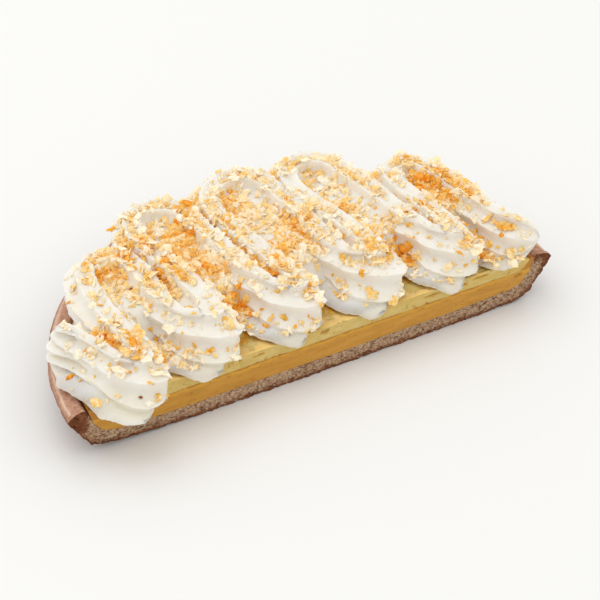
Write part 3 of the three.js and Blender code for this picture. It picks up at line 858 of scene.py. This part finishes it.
HEAPS = [(-98, 22, 7), (-81, 72, 7), (-62, 74, 11), (-56, 52, 10), (-44, 66, 9), (-35, 78, 8), (-26, 91, 7),
         (-36, 47, 6), (-36, 28, 7), (-38, 12, 8), (-16, 74, 5), (-4, 90, 6), (4, 46, 8), (-8, 30, 6),
         (5, 15, 7), (18, 58, 7), (46, 61, 4), (46, 22, 7), (56, 28, 8), (88, 60, 9), (98, 50, 8),
         (105, 40, 7), (90, 11, 7), (80, 44, 6), (38, 100, 6), (-99, 4, 5), (-88, 12, 6), (-84, 2, 5),
         (108, 12, 6), (101, 64, 7), (92, 80, 6), (78, 92, 6)]
BARE = [(-105, 50, 11), (-95, 41, 7), (-73, 30, 8), (-55, 21, 9), (-46, 32, 8), (-26, 60, 5), (10, 92, 8),
        (44, 43, 8), (56, 50, 7), (55, 72, 8), (70, 62, 7), (72, 18, 8), (64, 8, 7), (24, 30, 6),
        (-20, 12, 7), (36, 76, 9), (30, 88, 7), (-62, 62, 4), (-50, 80, 4)]

# Large lumps and dark burnt specks that stand out in the photo: x, y, size and tone
LUMPS = [(-81, 8.4, 9, 0.72), (-27, 93, 8, 0.75), (90, 63, 8, 0.72), (109, 47, 6.5, 0.7), (-44, 80, 8, 0.6),
         (-55, 57, 7, 0.65), (-32, 33, 6, 0.65), (67, 39, 3.6, 0.97), (100, 44, 2.6, 0.97),
         (-96.5, -8, 2.6, 0.99), (-101, 29.6, 2.4, 0.97), (-74.5, 52, 2.4, 0.97)]

THINNEST = 0.1
THICKER_BEHIND = 0.14
BEHIND_RANGE = (-8, 36)
LEFT_RANGE = (-112, -70)
PATCH_SIZE = 8
PATCH_RANGE = (-0.4, 0.4)
HEAP_DENSITY = 0.42
BARENESS = 0.85
EDGE_RANGE = (117, 127)
VALLEY_SIDE = (96, 104)
VALLEY_FRONT = (4, 12)
VALLEY_DEPTH = (0.2, 0.9)
VALLEY_SLANT = 0.9
VALLEY_DUST = 1.3
# Where painted shade darkens the low front lips of the cream: their heights and how far back from the cut
SHADED_LIP_HEIGHT = (28, 36)
SHADED_LIP_FRONT = (3, 9)
SHARP_ANGLE = 42


def near_spots(x, y, spots):
    """How much a place lies in one of the spots, from 0 to 1."""
    return np.clip(sum(np.exp(-((x - a) ** 2 + (y - b) ** 2) / reach ** 2) for a, b, reach in spots), 0, 1)


def ruffle_valleys(x, y, z):
    """How much a place lies in a valley between the ruffles at the start of the strand."""
    along = (WAVE_START[0][1] - y) / VALLEY_SLANT
    ridge = np.sin(2 * np.pi * z / RUFFLE_SPACING + RUFFLE_TWIST * along)
    return smoothstep(-ridge, *VALLEY_DEPTH) * smoothstep(-x, *VALLEY_SIDE) * smoothstep(y, *VALLEY_FRONT)


def crumb_density(x, y):
    """How thickly the crumbs lie, from 0 to 1."""
    base = THINNEST + THICKER_BEHIND * smoothstep(y, *BEHIND_RANGE)
    base = base * (0.3 + 0.7 * smoothstep(x, *LEFT_RANGE))
    ground = np.stack([x, y, np.zeros(len(x))], axis=1)
    patch = smoothstep(field(ground, PATCH_SIZE, 7) + 0.5 * field(ground, PATCH_SIZE / 2, 8), *PATCH_RANGE)
    heaped = HEAP_DENSITY * near_spots(x, y, HEAPS) * (0.4 + 0.8 * patch)
    density = (base * (0.25 + 1.5 * patch) + heaped) * (1 - BARENESS * near_spots(x, y, BARE))
    return np.clip(density, 0, 1) * (1 - smoothstep(np.hypot(x, y), *EDGE_RANGE))


def cream_piece():
    """The piped cream, dusted where the crumble lies and in its valleys, with painted shade in its low front
    lips.
    """
    cream = cream_body()
    cream.data.materials.clear()
    cream.data.materials.append(cream_material())
    cream.data.shade_smooth()
    cream.data.set_sharp_from_angle(angle=math.radians(SHARP_ANGLE))
    x, y, z = tart_points(cream).T
    set_attribute(cream, "dust", crumb_density(x, y) + VALLEY_DUST * ruffle_valleys(x, y, z))
    # Painted shade: the low front lips are marked to be darkened as if in shadow.
    set_attribute(cream, "low", (1 - smoothstep(z, *SHADED_LIP_HEIGHT)) * (1 - smoothstep(y, *SHADED_LIP_FRONT)))
    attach(cream, "root")
    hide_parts("whipped_cream")
    return cream


class Landing:
    """Casts down onto the cream and knows how far a place lies above its surroundings."""
    GRID = 1.0
    WIDTH = 4.0
    LEFT, RIGHT = -132, 133
    FRONT, BACK = -22, 133
    START_HEIGHT = 80
    AIM_HEIGHT = 45
    FALL_LENGTH = 100

    def __init__(self, target):
        self.tree = BVHTree.FromObject(target, bpy.context.evaluated_depsgraph_get())
        self.xs = np.arange(self.LEFT, self.RIGHT, self.GRID)
        self.ys = np.arange(self.FRONT, self.BACK, self.GRID)
        heights = np.full((len(self.xs), len(self.ys)), VANILLA_TOP)
        down = Vector((0, 0, -1))
        for i, x in enumerate(self.xs):
            for j, y in enumerate(self.ys):
                hit = self.tree.ray_cast(place((x, y, self.START_HEIGHT)), down)[0]
                if hit is not None:
                    heights[i, j] = hit.z / MM
        width = int(self.WIDTH / self.GRID) * 2 + 1
        blurred = heights
        for axis in (0, 1):
            blurred = np.apply_along_axis(smoothed, axis, blurred, width)
        self.relief = heights - blurred
        across, deep = np.meshgrid(self.xs, self.ys, indexing="ij")
        self.density = crumb_density(across.ravel(), deep.ravel()).reshape(across.shape)

    def at(self, x, y):
        """The relief and the crumb density at a place."""
        i = int(np.clip(round((x - self.xs[0]) / self.GRID), 0, len(self.xs) - 1))
        j = int(np.clip(round((y - self.ys[0]) / self.GRID), 0, len(self.ys) - 1))
        return self.relief[i, j], self.density[i, j]

    def cast(self, x, y, tilt_x, tilt_y):
        """Where a slanting fall aimed at a place meets the cream, and the cream's normal there."""
        down = Vector((tilt_x, tilt_y, -1)).normalized()
        start = place((x, y, self.AIM_HEIGHT)) - down * (self.FALL_LENGTH * MM)
        hit, normal, _, _ = self.tree.ray_cast(start, down)
        if hit is None:
            return None
        return (np.array(hit) - CUT_PLACE) / MM, np.array(normal)


def lump_shape(random, corners, flatness, slimness, rounds=0):
    """A broken lump: the hull of random corners on a squashed ball, about 1 across."""
    shape = bmesh.new()
    for _ in range(corners):
        direction = random.normal(size=3)
        direction /= np.linalg.norm(direction)
        shape.verts.new(direction * (0.4 + 0.12 * random.random()) * (1, slimness, flatness))
    hull = bmesh.ops.convex_hull(shape, input=shape.verts)
    inside = {part for part in hull["geom_interior"] if isinstance(part, bmesh.types.BMVert)}
    bmesh.ops.delete(shape, geom=list(inside), context="VERTS")
    loose = [vertex for vertex in shape.verts if not vertex.link_faces]
    bmesh.ops.delete(shape, geom=loose, context="VERTS")
    bmesh.ops.triangulate(shape, faces=shape.faces)
    for _ in range(rounds):
        bmesh.ops.subdivide_edges(shape, edges=shape.edges, cuts=1, use_grid_fill=True)
        bmesh.ops.smooth_vert(shape, verts=shape.verts, factor=0.4, use_axis_x=True, use_axis_y=True,
                              use_axis_z=True)
    bmesh.ops.triangulate(shape, faces=shape.faces)
    shape.verts.index_update()
    points = np.array([vertex.co[:] for vertex in shape.verts])
    faces = np.array([[vertex.index for vertex in face.verts] for face in shape.faces])
    shape.free()
    return points, faces


def worn_lump_shape(random, corners, flatness, slimness):
    """A lump with its edges worn round and a rough surface."""
    points, faces = lump_shape(random, corners, flatness, slimness, rounds=1)
    return points + 0.05 * np.stack([field(points, 0.16, seed) for seed in (1, 2, 3)], axis=1), faces


def flake_shape(random, corners, flatness, slimness):
    """A thin ragged flake, about 1 across: two fans over a broken outline, a little bent."""
    angle = 2 * np.pi * (np.arange(corners) + 0.7 * random.random(corners)) / corners
    reach = 0.3 + 0.22 * random.random(corners)
    rim = np.stack([np.cos(angle) * reach, np.sin(angle) * reach * slimness], axis=1)
    bend = 1.2 * (random.random() - 0.5)
    lift = bend * rim[:, 0] ** 2 + 0.05 * random.normal(size=corners)
    points = [[x, y, z] for (x, y), z in zip(rim, lift)]
    points += [[0.05, 0, flatness / 2], [-0.05, 0, -flatness / 2]]
    faces = []
    for j in range(corners):
        following = (j + 1) % corners
        faces.append([j, following, corners])
        faces.append([following, j, corners + 1])
    return np.array(points), np.array(faces)


# Each kind of crumb: how many, their sizes, shape, flatness and corners, the seed, the least and the most
# tone with how much painted shade a hollow adds, how steeply they stand, and the places of the first ones
KINDS = {
    "crumble_chunks": {"count": 50, "sizes": (3.5, 7.0), "shape": worn_lump_shape, "flatness": 0.7,
                       "corners": 26, "seed": 5, "tone": (0.35, 0.7, 0.4), "upright": 0.35, "spots": LUMPS},
    "crumble_flakes": {"count": 3400, "sizes": (3.6, 9.0), "shape": flake_shape, "flatness": 0.2,
                       "corners": 12, "seed": 6, "tone": (0.0, 0.5, 1.0), "upright": 0.4},
    "crumble_shards": {"count": 3000, "sizes": (2.5, 6.0), "shape": flake_shape, "flatness": 0.16,
                       "corners": 8, "seed": 9, "tone": (0.0, 0.5, 1.0), "upright": 0.8},
    "crumble_bits": {"count": 2400, "sizes": (1.5, 3.6), "shape": lump_shape, "flatness": 0.5,
                     "corners": 10, "seed": 8, "tone": (0.0, 0.6, 1.0), "upright": 0.5},
    "crumble_grains": {"count": 2400, "sizes": (0.6, 1.6), "shape": lump_shape, "flatness": 0.7,
                       "corners": 8, "seed": 7, "tone": (0.0, 0.5, 1.0), "upright": 0.35},
}
SHAPES_PER_KIND = 24
TRIES_PER_CRUMB = 40
SOWN_LOW = (-124, -18)
SOWN_HIGH = (124, 122)
FALL_TILT = 0.3
CLEAR_OF_FILLING = 1.5
STEEPEST = -0.1
RELIEF_REACH = 3.5
RELIEF_KEEP = (0.3, 1.6)
SIZE_BIAS = 1.7
PILE_HEIGHT = 2.2
PILE_BIAS = 1.5
LIFT = 0.12
TOP_CLEARANCE = 0.05
# Painted shade on the crumbs: how far a hollow reaches, and how much darker hollows and heaps make them
HOLLOW_REACH = 6
HOLLOW_SHADE = (-0.25, 0.6)
HEAP_SHADE = 0.3
PALER = 0.1
DARKEST_TONE = 0.8


def landed(landing, x, y, tilt, chance):
    """Where a crumb comes to lie, or nothing where it would slide off or the crumbs are thin."""
    met = landing.cast(x, y, *tilt)
    if met is None:
        return None
    spot, normal = met
    if spot[2] < VANILLA_TOP + CLEAR_OF_FILLING or normal[2] < STEEPEST:
        return None
    relief, density = landing.at(spot[0], spot[1])
    keep = density * float(np.clip(1 - relief / RELIEF_REACH, *RELIEF_KEEP)) / RELIEF_KEEP[1]
    if chance > keep:
        return None
    return spot, normal, relief


def random_turn(random, normal, upright):
    """A random turn about a direction that leans off the normal."""
    lean = normal + random.normal(size=3) * upright
    lean /= np.linalg.norm(lean)
    spin = Quaternion((0, 0, 1), random.random() * 2 * math.pi)
    return np.array((Vector((0, 0, 1)).rotation_difference(Vector(lean)) @ spin).to_matrix())


def random_tone(random, heaped, relief, tone):
    """How dark a crumb is: a random tone, with painted shade that makes it darker in hollows and heaps."""
    darker = float(np.clip(-relief / HOLLOW_REACH, *HOLLOW_SHADE)) + HEAP_SHADE * heaped - PALER
    return np.clip(tone[0] + (tone[1] - tone[0]) * random.random() + darker * tone[2], 0, DARKEST_TONE)


def crumbs(landing, count, sizes, shape, flatness, corners, seed, tone, upright, spots=()):
    """The points, faces and tone of each crumb of one kind."""
    random = np.random.default_rng(seed)
    shapes = [shape(random, corners, flatness * (0.7 + 0.6 * random.random()), 0.55 + 0.4 * random.random())
              for _ in range(SHAPES_PER_KIND)]
    top = cad_high.z / MM - TOP_CLEARANCE
    made = []
    for _ in range(count * TRIES_PER_CRUMB):
        if len(made) == count:
            break
        x, y = random.uniform(SOWN_LOW, SOWN_HIGH)
        tilt = random.normal(size=2) * FALL_TILT
        chance, size_draw = random.random(), random.random()
        size, shade = sizes[0] + (sizes[1] - sizes[0]) * size_draw ** SIZE_BIAS, None
        if len(made) < len(spots):
            x, y, size, shade = spots[len(made)]
            tilt, chance = (0, 0), 0
        elif chance > landing.at(x, y)[1]:
            continue
        lying = landed(landing, x, y, tilt, chance)
        if lying is None:
            continue
        spot, normal, relief = lying
        heaped = near_spots(spot[0], spot[1], HEAPS)
        spot = spot + (0, 0, PILE_HEIGHT * heaped * random.random() ** PILE_BIAS)
        outline, faces = shapes[int(random.integers(len(shapes)))]
        turn = random_turn(random, normal, upright)
        points = (outline * size) @ turn.T + spot + normal * size * flatness * LIFT
        points[:, 2] -= max(points[:, 2].max() - top, 0)
        drawn = random_tone(random, heaped, relief, tone)
        made.append((points, faces, shade or drawn))
    return made


def crumb_piece(name, kind, landing, material):
    """One joined mesh of all crumbs of one kind, which lie on the cream."""
    points, faces, tones = zip(*crumbs(landing, **kind))
    starts = np.cumsum([0] + [len(part) for part in points[:-1]])
    joined = np.vstack([part + start for part, start in zip(faces, starts)])
    made = mesh_object(name, np.vstack(points), joined.tolist(), [material], smooth=False)
    set_attribute(made, "tone", np.repeat(tones, [len(part) for part in points]))
    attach(made, "root")


# Materials

def srgb(red, green, blue):
    """Linear colour from sRGB values of 0 to 255."""
    values = np.array([red, green, blue]) / 255
    return tuple(np.where(values <= 0.04045, values / 12.92, ((values + 0.055) / 1.055) ** 2.4)) + (1.0,)


class Nodes:
    """Short ways to add and join shader nodes."""

    def __init__(self, name):
        self.material = bpy.data.materials.new(name)
        self.material.use_nodes = True
        self.tree = self.material.node_tree
        self.shader = self.tree.nodes["Principled BSDF"]
        self.where = self.add("ShaderNodeTexCoord").outputs["Object"]

    def add(self, kind, values=(), **settings):
        node = self.tree.nodes.new(kind)
        for key, value in settings.items():
            setattr(node, key, value)
        for key, value in dict(values).items():
            self.put(node.inputs[key], value)
        return node

    def put(self, socket, value):
        if isinstance(value, bpy.types.NodeSocket):
            self.tree.links.new(value, socket)
        else:
            socket.default_value = value

    def set(self, name, value):
        self.put(self.shader.inputs[name], value)

    def surface(self, roughness, specular):
        self.set("Roughness", roughness)
        self.set("Specular IOR Level", specular)

    def glow_through(self, weight, radius, millimetres):
        """Lets light into the food by about so many millimetres."""
        self.set("Subsurface Weight", weight)
        self.set("Subsurface Radius", radius)
        self.set("Subsurface Scale", millimetres * MM)

    def noise(self, size, detail=3.0, rough=0.55, stretch=(1, 1, 1)):
        """Noise between 0 and 1 with features of about the given size in millimetres."""
        scale = tuple(1 / share for share in stretch)
        mapped = self.add("ShaderNodeMapping", {"Vector": self.where, "Scale": scale}).outputs[0]
        node = self.add("ShaderNodeTexNoise", {"Vector": mapped, "Scale": 1000 / size, "Detail": detail,
                                               "Roughness": rough})
        return node.outputs["Fac"]

    def height(self):
        return self.add("ShaderNodeSeparateXYZ", {"Vector": self.where}).outputs["Z"]

    def attribute(self, name):
        return self.add("ShaderNodeAttribute", attribute_name=name).outputs["Fac"]

    def math(self, operation, first, second, third=None):
        node = self.add("ShaderNodeMath", operation=operation)
        self.put(node.inputs[0], first)
        self.put(node.inputs[1], second)
        if third is not None:
            self.put(node.inputs[2], third)
        return node.outputs[0]

    def spread(self, value, low, high, new_low=0.0, new_high=1.0):
        """The value brought from one range to another, and held to it."""
        limits = {"From Min": low, "From Max": high, "To Min": new_low, "To Max": new_high}
        return self.add("ShaderNodeMapRange", {"Value": value, **limits}).outputs[0]

    def wavering(self, value, amount, size, detail=3):
        """The value with noise of plus or minus the amount added."""
        return self.math("ADD", value, self.spread(self.noise(size, detail), 0.3, 0.7, -amount, amount))

    def ramp(self, value, stops):
        node = self.add("ShaderNodeValToRGB", {"Fac": value})
        elements = node.color_ramp.elements
        while len(elements) < len(stops):
            elements.new(0.5)
        for element, (position, color) in zip(elements, stops):
            element.position = position
            element.color = color
        return node.outputs["Color"]

    def mix(self, share, first, second, blend="MIX"):
        node = self.add("ShaderNodeMix", data_type="RGBA", blend_type=blend)
        self.put(node.inputs["Factor"], share)
        self.put(node.inputs[6], first)
        self.put(node.inputs[7], second)
        return node.outputs[2]

    def bump(self, height, strength, distance):
        node = self.add("ShaderNodeBump", {"Height": height, "Strength": strength, "Distance": distance * MM})
        self.set("Normal", node.outputs[0])


def cream_material():
    """Nearly white, golden with dust near the crumble, and with painted shade that darkens the low front
    lips.
    """
    nodes = Nodes("whipped_cream")
    white = nodes.ramp(nodes.noise(9), [(0.3, srgb(237, 233, 224)), (0.7, srgb(241, 238, 231))])
    dust = nodes.math("MULTIPLY", nodes.attribute("dust"), nodes.spread(nodes.noise(2.2, 5), 0.44, 0.6))
    color = nodes.mix(nodes.math("MULTIPLY", dust, 0.5), white, srgb(247, 228, 190))
    # Painted shade: the low front lips are darkened toward a shaded warm grey.
    low = nodes.math("MULTIPLY", nodes.attribute("low"), 0.5)
    nodes.set("Base Color", nodes.mix(low, color, srgb(214, 205, 178)))
    nodes.surface(0.55, 0.3)
    nodes.glow_through(0.6, (1.0, 0.9, 0.75), 4.5)
    nodes.bump(nodes.math("MULTIPLY_ADD", nodes.noise(3.5, 3), 2.0, nodes.noise(0.9, 4)), 0.45, 0.28)
    return nodes.material


def crust_material():
    """Pale porous crumb at the cut with painted shade in its deeper tears, browned outside and rosy brown at
    the rim, with a painted highlight along the rim's outer edge.
    """
    nodes = Nodes("baked_crust")
    darker = nodes.math("MULTIPLY", nodes.attribute("bake"), 0.3)
    grain = nodes.math("SUBTRACT", nodes.noise(0.9, 4, 0.65, (1.5, 1.4, 1)), darker)
    inside = nodes.ramp(grain, [(0.3, srgb(112, 66, 42)), (0.42, srgb(158, 118, 88)),
                                (0.52, srgb(188, 158, 128)), (0.66, srgb(208, 184, 156))])
    browned = nodes.ramp(nodes.noise(3.5, 4, 0.6), [(0.3, srgb(98, 50, 25)), (0.55, srgb(126, 74, 44)),
                                                    (0.75, srgb(158, 98, 62))])
    rim = nodes.math("MULTIPLY", nodes.spread(nodes.height(), 0.0205, 0.0245), nodes.attribute("skin"))
    rim_color = nodes.ramp(nodes.noise(2.0, 5, 0.65), [(0.3, srgb(170, 118, 92)), (0.52, srgb(197, 150, 125)),
                                                       (0.75, srgb(214, 173, 149))])
    outside = nodes.mix(rim, browned, rim_color)
    # Painted highlight along the rim's outer edge.
    outside = nodes.mix(nodes.attribute("edge"), outside, srgb(236, 206, 184))
    bake = nodes.wavering(nodes.attribute("bake"), 0.22, 1.1)
    color = nodes.mix(nodes.spread(bake, 0.25, 0.8), inside, outside)
    # Painted shade: the cut darkens where it is torn deeper.
    shade = nodes.spread(nodes.attribute("deep"), 0.25, 1.0, 1.0, 0.55)
    dark = nodes.add("ShaderNodeCombineColor", {"Red": shade, "Green": shade, "Blue": shade})
    nodes.set("Base Color", nodes.mix(1.0, color, dark.outputs[0], "MULTIPLY"))
    nodes.surface(0.85, 0.2)
    nodes.bump(nodes.noise(1.0, 5, 0.75), 0.85, 0.55)
    return nodes.material


def custard_material():
    """Egg yellow with small specks, lighter near its top and darker where it meets the vanilla cream."""
    nodes = Nodes("custard")
    yellows = [(0.3, srgb(187, 130, 37)), (0.55, srgb(201, 144, 49)), (0.8, srgb(213, 160, 66))]
    color = nodes.ramp(nodes.noise(6, 5, 0.65, (3, 1, 0.6)), yellows)
    specks = nodes.spread(nodes.noise(1.0, 3), 0.62, 0.7)
    color = nodes.mix(nodes.math("MULTIPLY", specks, 0.5), color, srgb(160, 98, 22))
    height = nodes.wavering(nodes.height(), 0.0009, 6)
    color = nodes.mix(nodes.spread(height, 0.0172, 0.0185, 0, 0.8), color, srgb(216, 160, 48))
    color = nodes.mix(nodes.spread(height, 0.0194, 0.0199, 0, 0.75), color, srgb(176, 108, 20))
    nodes.set("Base Color", color)
    nodes.surface(0.42, 0.35)
    nodes.glow_through(0.2, (1.0, 0.6, 0.25), 2.0)
    nodes.bump(nodes.noise(1.2, 4, 0.6, (2.5, 1, 0.8)), 0.35, 0.3)
    return nodes.material


def vanilla_material():
    """Pale yellow at the cut, with painted light that makes its top warmer and lighter, and painted shade
    that turns it golden in pits and under the cream.
    """
    nodes = Nodes("vanilla_cream")
    yellows = [(0.3, srgb(208, 174, 93)), (0.55, srgb(215, 188, 114)), (0.8, srgb(222, 199, 134))]
    color = nodes.ramp(nodes.noise(6, 4, 0.6, (2.5, 1, 0.7)), yellows)
    # Painted shade: golden in tears, pits and bubbles and where the whipped cream covers the top.
    deep = nodes.spread(nodes.wavering(nodes.attribute("deep"), 0.3, 1.5, 4), 0.3, 0.9)
    # Painted shade of small pits: noise spots darkened to golden.
    pits = nodes.spread(nodes.noise(1.3, 3, 0.6, (1.8, 1, 0.8)), 0.63, 0.7, 0, 0.7)
    color = nodes.mix(pits, color, srgb(204, 148, 44))
    # Painted light: the open top is lit warmer and lighter.
    color = nodes.mix(nodes.math("MULTIPLY", nodes.attribute("top"), 0.85), color, srgb(250, 206, 124))
    nodes.set("Base Color", nodes.mix(deep, color, srgb(214, 148, 26)))
    nodes.surface(0.6, 0.25)
    nodes.glow_through(0.2, (1.0, 0.75, 0.35), 2.0)
    nodes.bump(nodes.noise(1.0, 5, 0.65), 0.5, 0.3)
    return nodes.material


def crumb_material():
    """Roasted crumbs from cream-coloured to burnt, each by its own tone, with a faint painted glow."""
    nodes = Nodes("crumble")
    tone = nodes.wavering(nodes.attribute("tone"), 0.22, 1.6, 4)
    roasted = [(0.0, srgb(246, 234, 210)), (0.22, srgb(241, 214, 165)), (0.5, srgb(236, 183, 86)),
               (0.75, srgb(230, 148, 24)), (0.9, srgb(215, 123, 12)), (1.0, srgb(110, 54, 22))]
    color = nodes.ramp(tone, roasted)
    nodes.set("Base Color", color)
    nodes.surface(0.5, 0.35)
    # Painted light: the crumbs glow faintly in their own colour, which lifts their shade.
    nodes.set("Emission Color", color)
    nodes.set("Emission Strength", 0.12)
    nodes.glow_through(0.5, (1.0, 0.75, 0.4), 2.5)
    nodes.bump(nodes.noise(0.5, 3), 0.4, 0.2)
    return nodes.material


# Camera, light and floor: the camera is the one fitted to the photo, in millimetres and degrees

CAMERA_TARGET = (3.99, 31.50, 20.0)
CAMERA_AZIMUTH = -27.91
CAMERA_ELEVATION = 39.63
CAMERA_DISTANCE = 783.4
CAMERA_LENS = 96.8
LIGHTS = {
    "key": {"azimuth": -145, "elevation": 68, "size": 2.0, "power": 8},
    "fill": {"azimuth": 60, "elevation": 50, "size": 1.2, "power": 1.0},
}
LIGHT_DISTANCE = 1.8
SKY_COLOR = (1, 0.995, 0.965, 1)
SKY_STRENGTH = 0.915
FLOOR_SIZE = 30.0
FLOOR_COLOR = (0.87, 0.87, 0.87, 1)


def put_round_target(name, data, azimuth, elevation, distance):
    """A camera or lamp at a distance in metres from the target, turned to face it."""
    across, up = math.radians(azimuth), math.radians(elevation)
    back = Vector((math.sin(across) * math.cos(up), -math.cos(across) * math.cos(up), math.sin(up)))
    made = bpy.data.objects.new(name, data)
    made.location = place(CAMERA_TARGET) + back * distance
    made.rotation_mode = "QUATERNION"
    made.rotation_quaternion = (-back).to_track_quat("-Z", "Y")
    bpy.context.scene.collection.objects.link(made)
    return made


def make_camera():
    data = bpy.data.cameras.new("camera")
    data.lens = CAMERA_LENS
    data.sensor_width = 36
    data.clip_start = 0.05
    data.clip_end = 20
    camera = put_round_target("camera", data, CAMERA_AZIMUTH, CAMERA_ELEVATION, CAMERA_DISTANCE * MM)
    bpy.context.scene.camera = camera


def make_light(name, azimuth, elevation, size, power):
    data = bpy.data.lights.new(name, "AREA")
    data.shape = "DISK"
    data.size = size
    data.energy = power
    put_round_target(name, data, azimuth, elevation, LIGHT_DISTANCE)


def make_floor():
    corners = [(x * FLOOR_SIZE, y * FLOOR_SIZE, 0) for x, y in ((-1, -1), (1, -1), (1, 1), (-1, 1))]
    mesh = bpy.data.meshes.new("floor")
    mesh.from_pydata(corners, [], [(0, 1, 2, 3)])
    material = bpy.data.materials.new("floor")
    material.use_nodes = True
    material.node_tree.nodes["Principled BSDF"].inputs["Base Color"].default_value = FLOOR_COLOR
    mesh.materials.append(material)
    floor = bpy.data.objects.new("floor", mesh)
    bpy.context.scene.collection.objects.link(floor)


def make_sky():
    world = bpy.data.worlds.new("world")
    world.use_nodes = True
    background = world.node_tree.nodes["Background"]
    background.inputs["Color"].default_value = SKY_COLOR
    background.inputs["Strength"].default_value = SKY_STRENGTH
    bpy.context.scene.world = world


def make_tart():
    cream = cream_piece()
    crust_piece()
    custard_piece()
    vanilla_piece()
    landing = Landing(cream)
    look = crumb_material()
    for name, kind in KINDS.items():
        crumb_piece(name, kind, landing, look)


make_tart()
make_camera()
make_floor()
for light, settings in LIGHTS.items():
    make_light(light, **settings)
make_sky()
bpy.context.scene.view_settings.view_transform = "Standard"
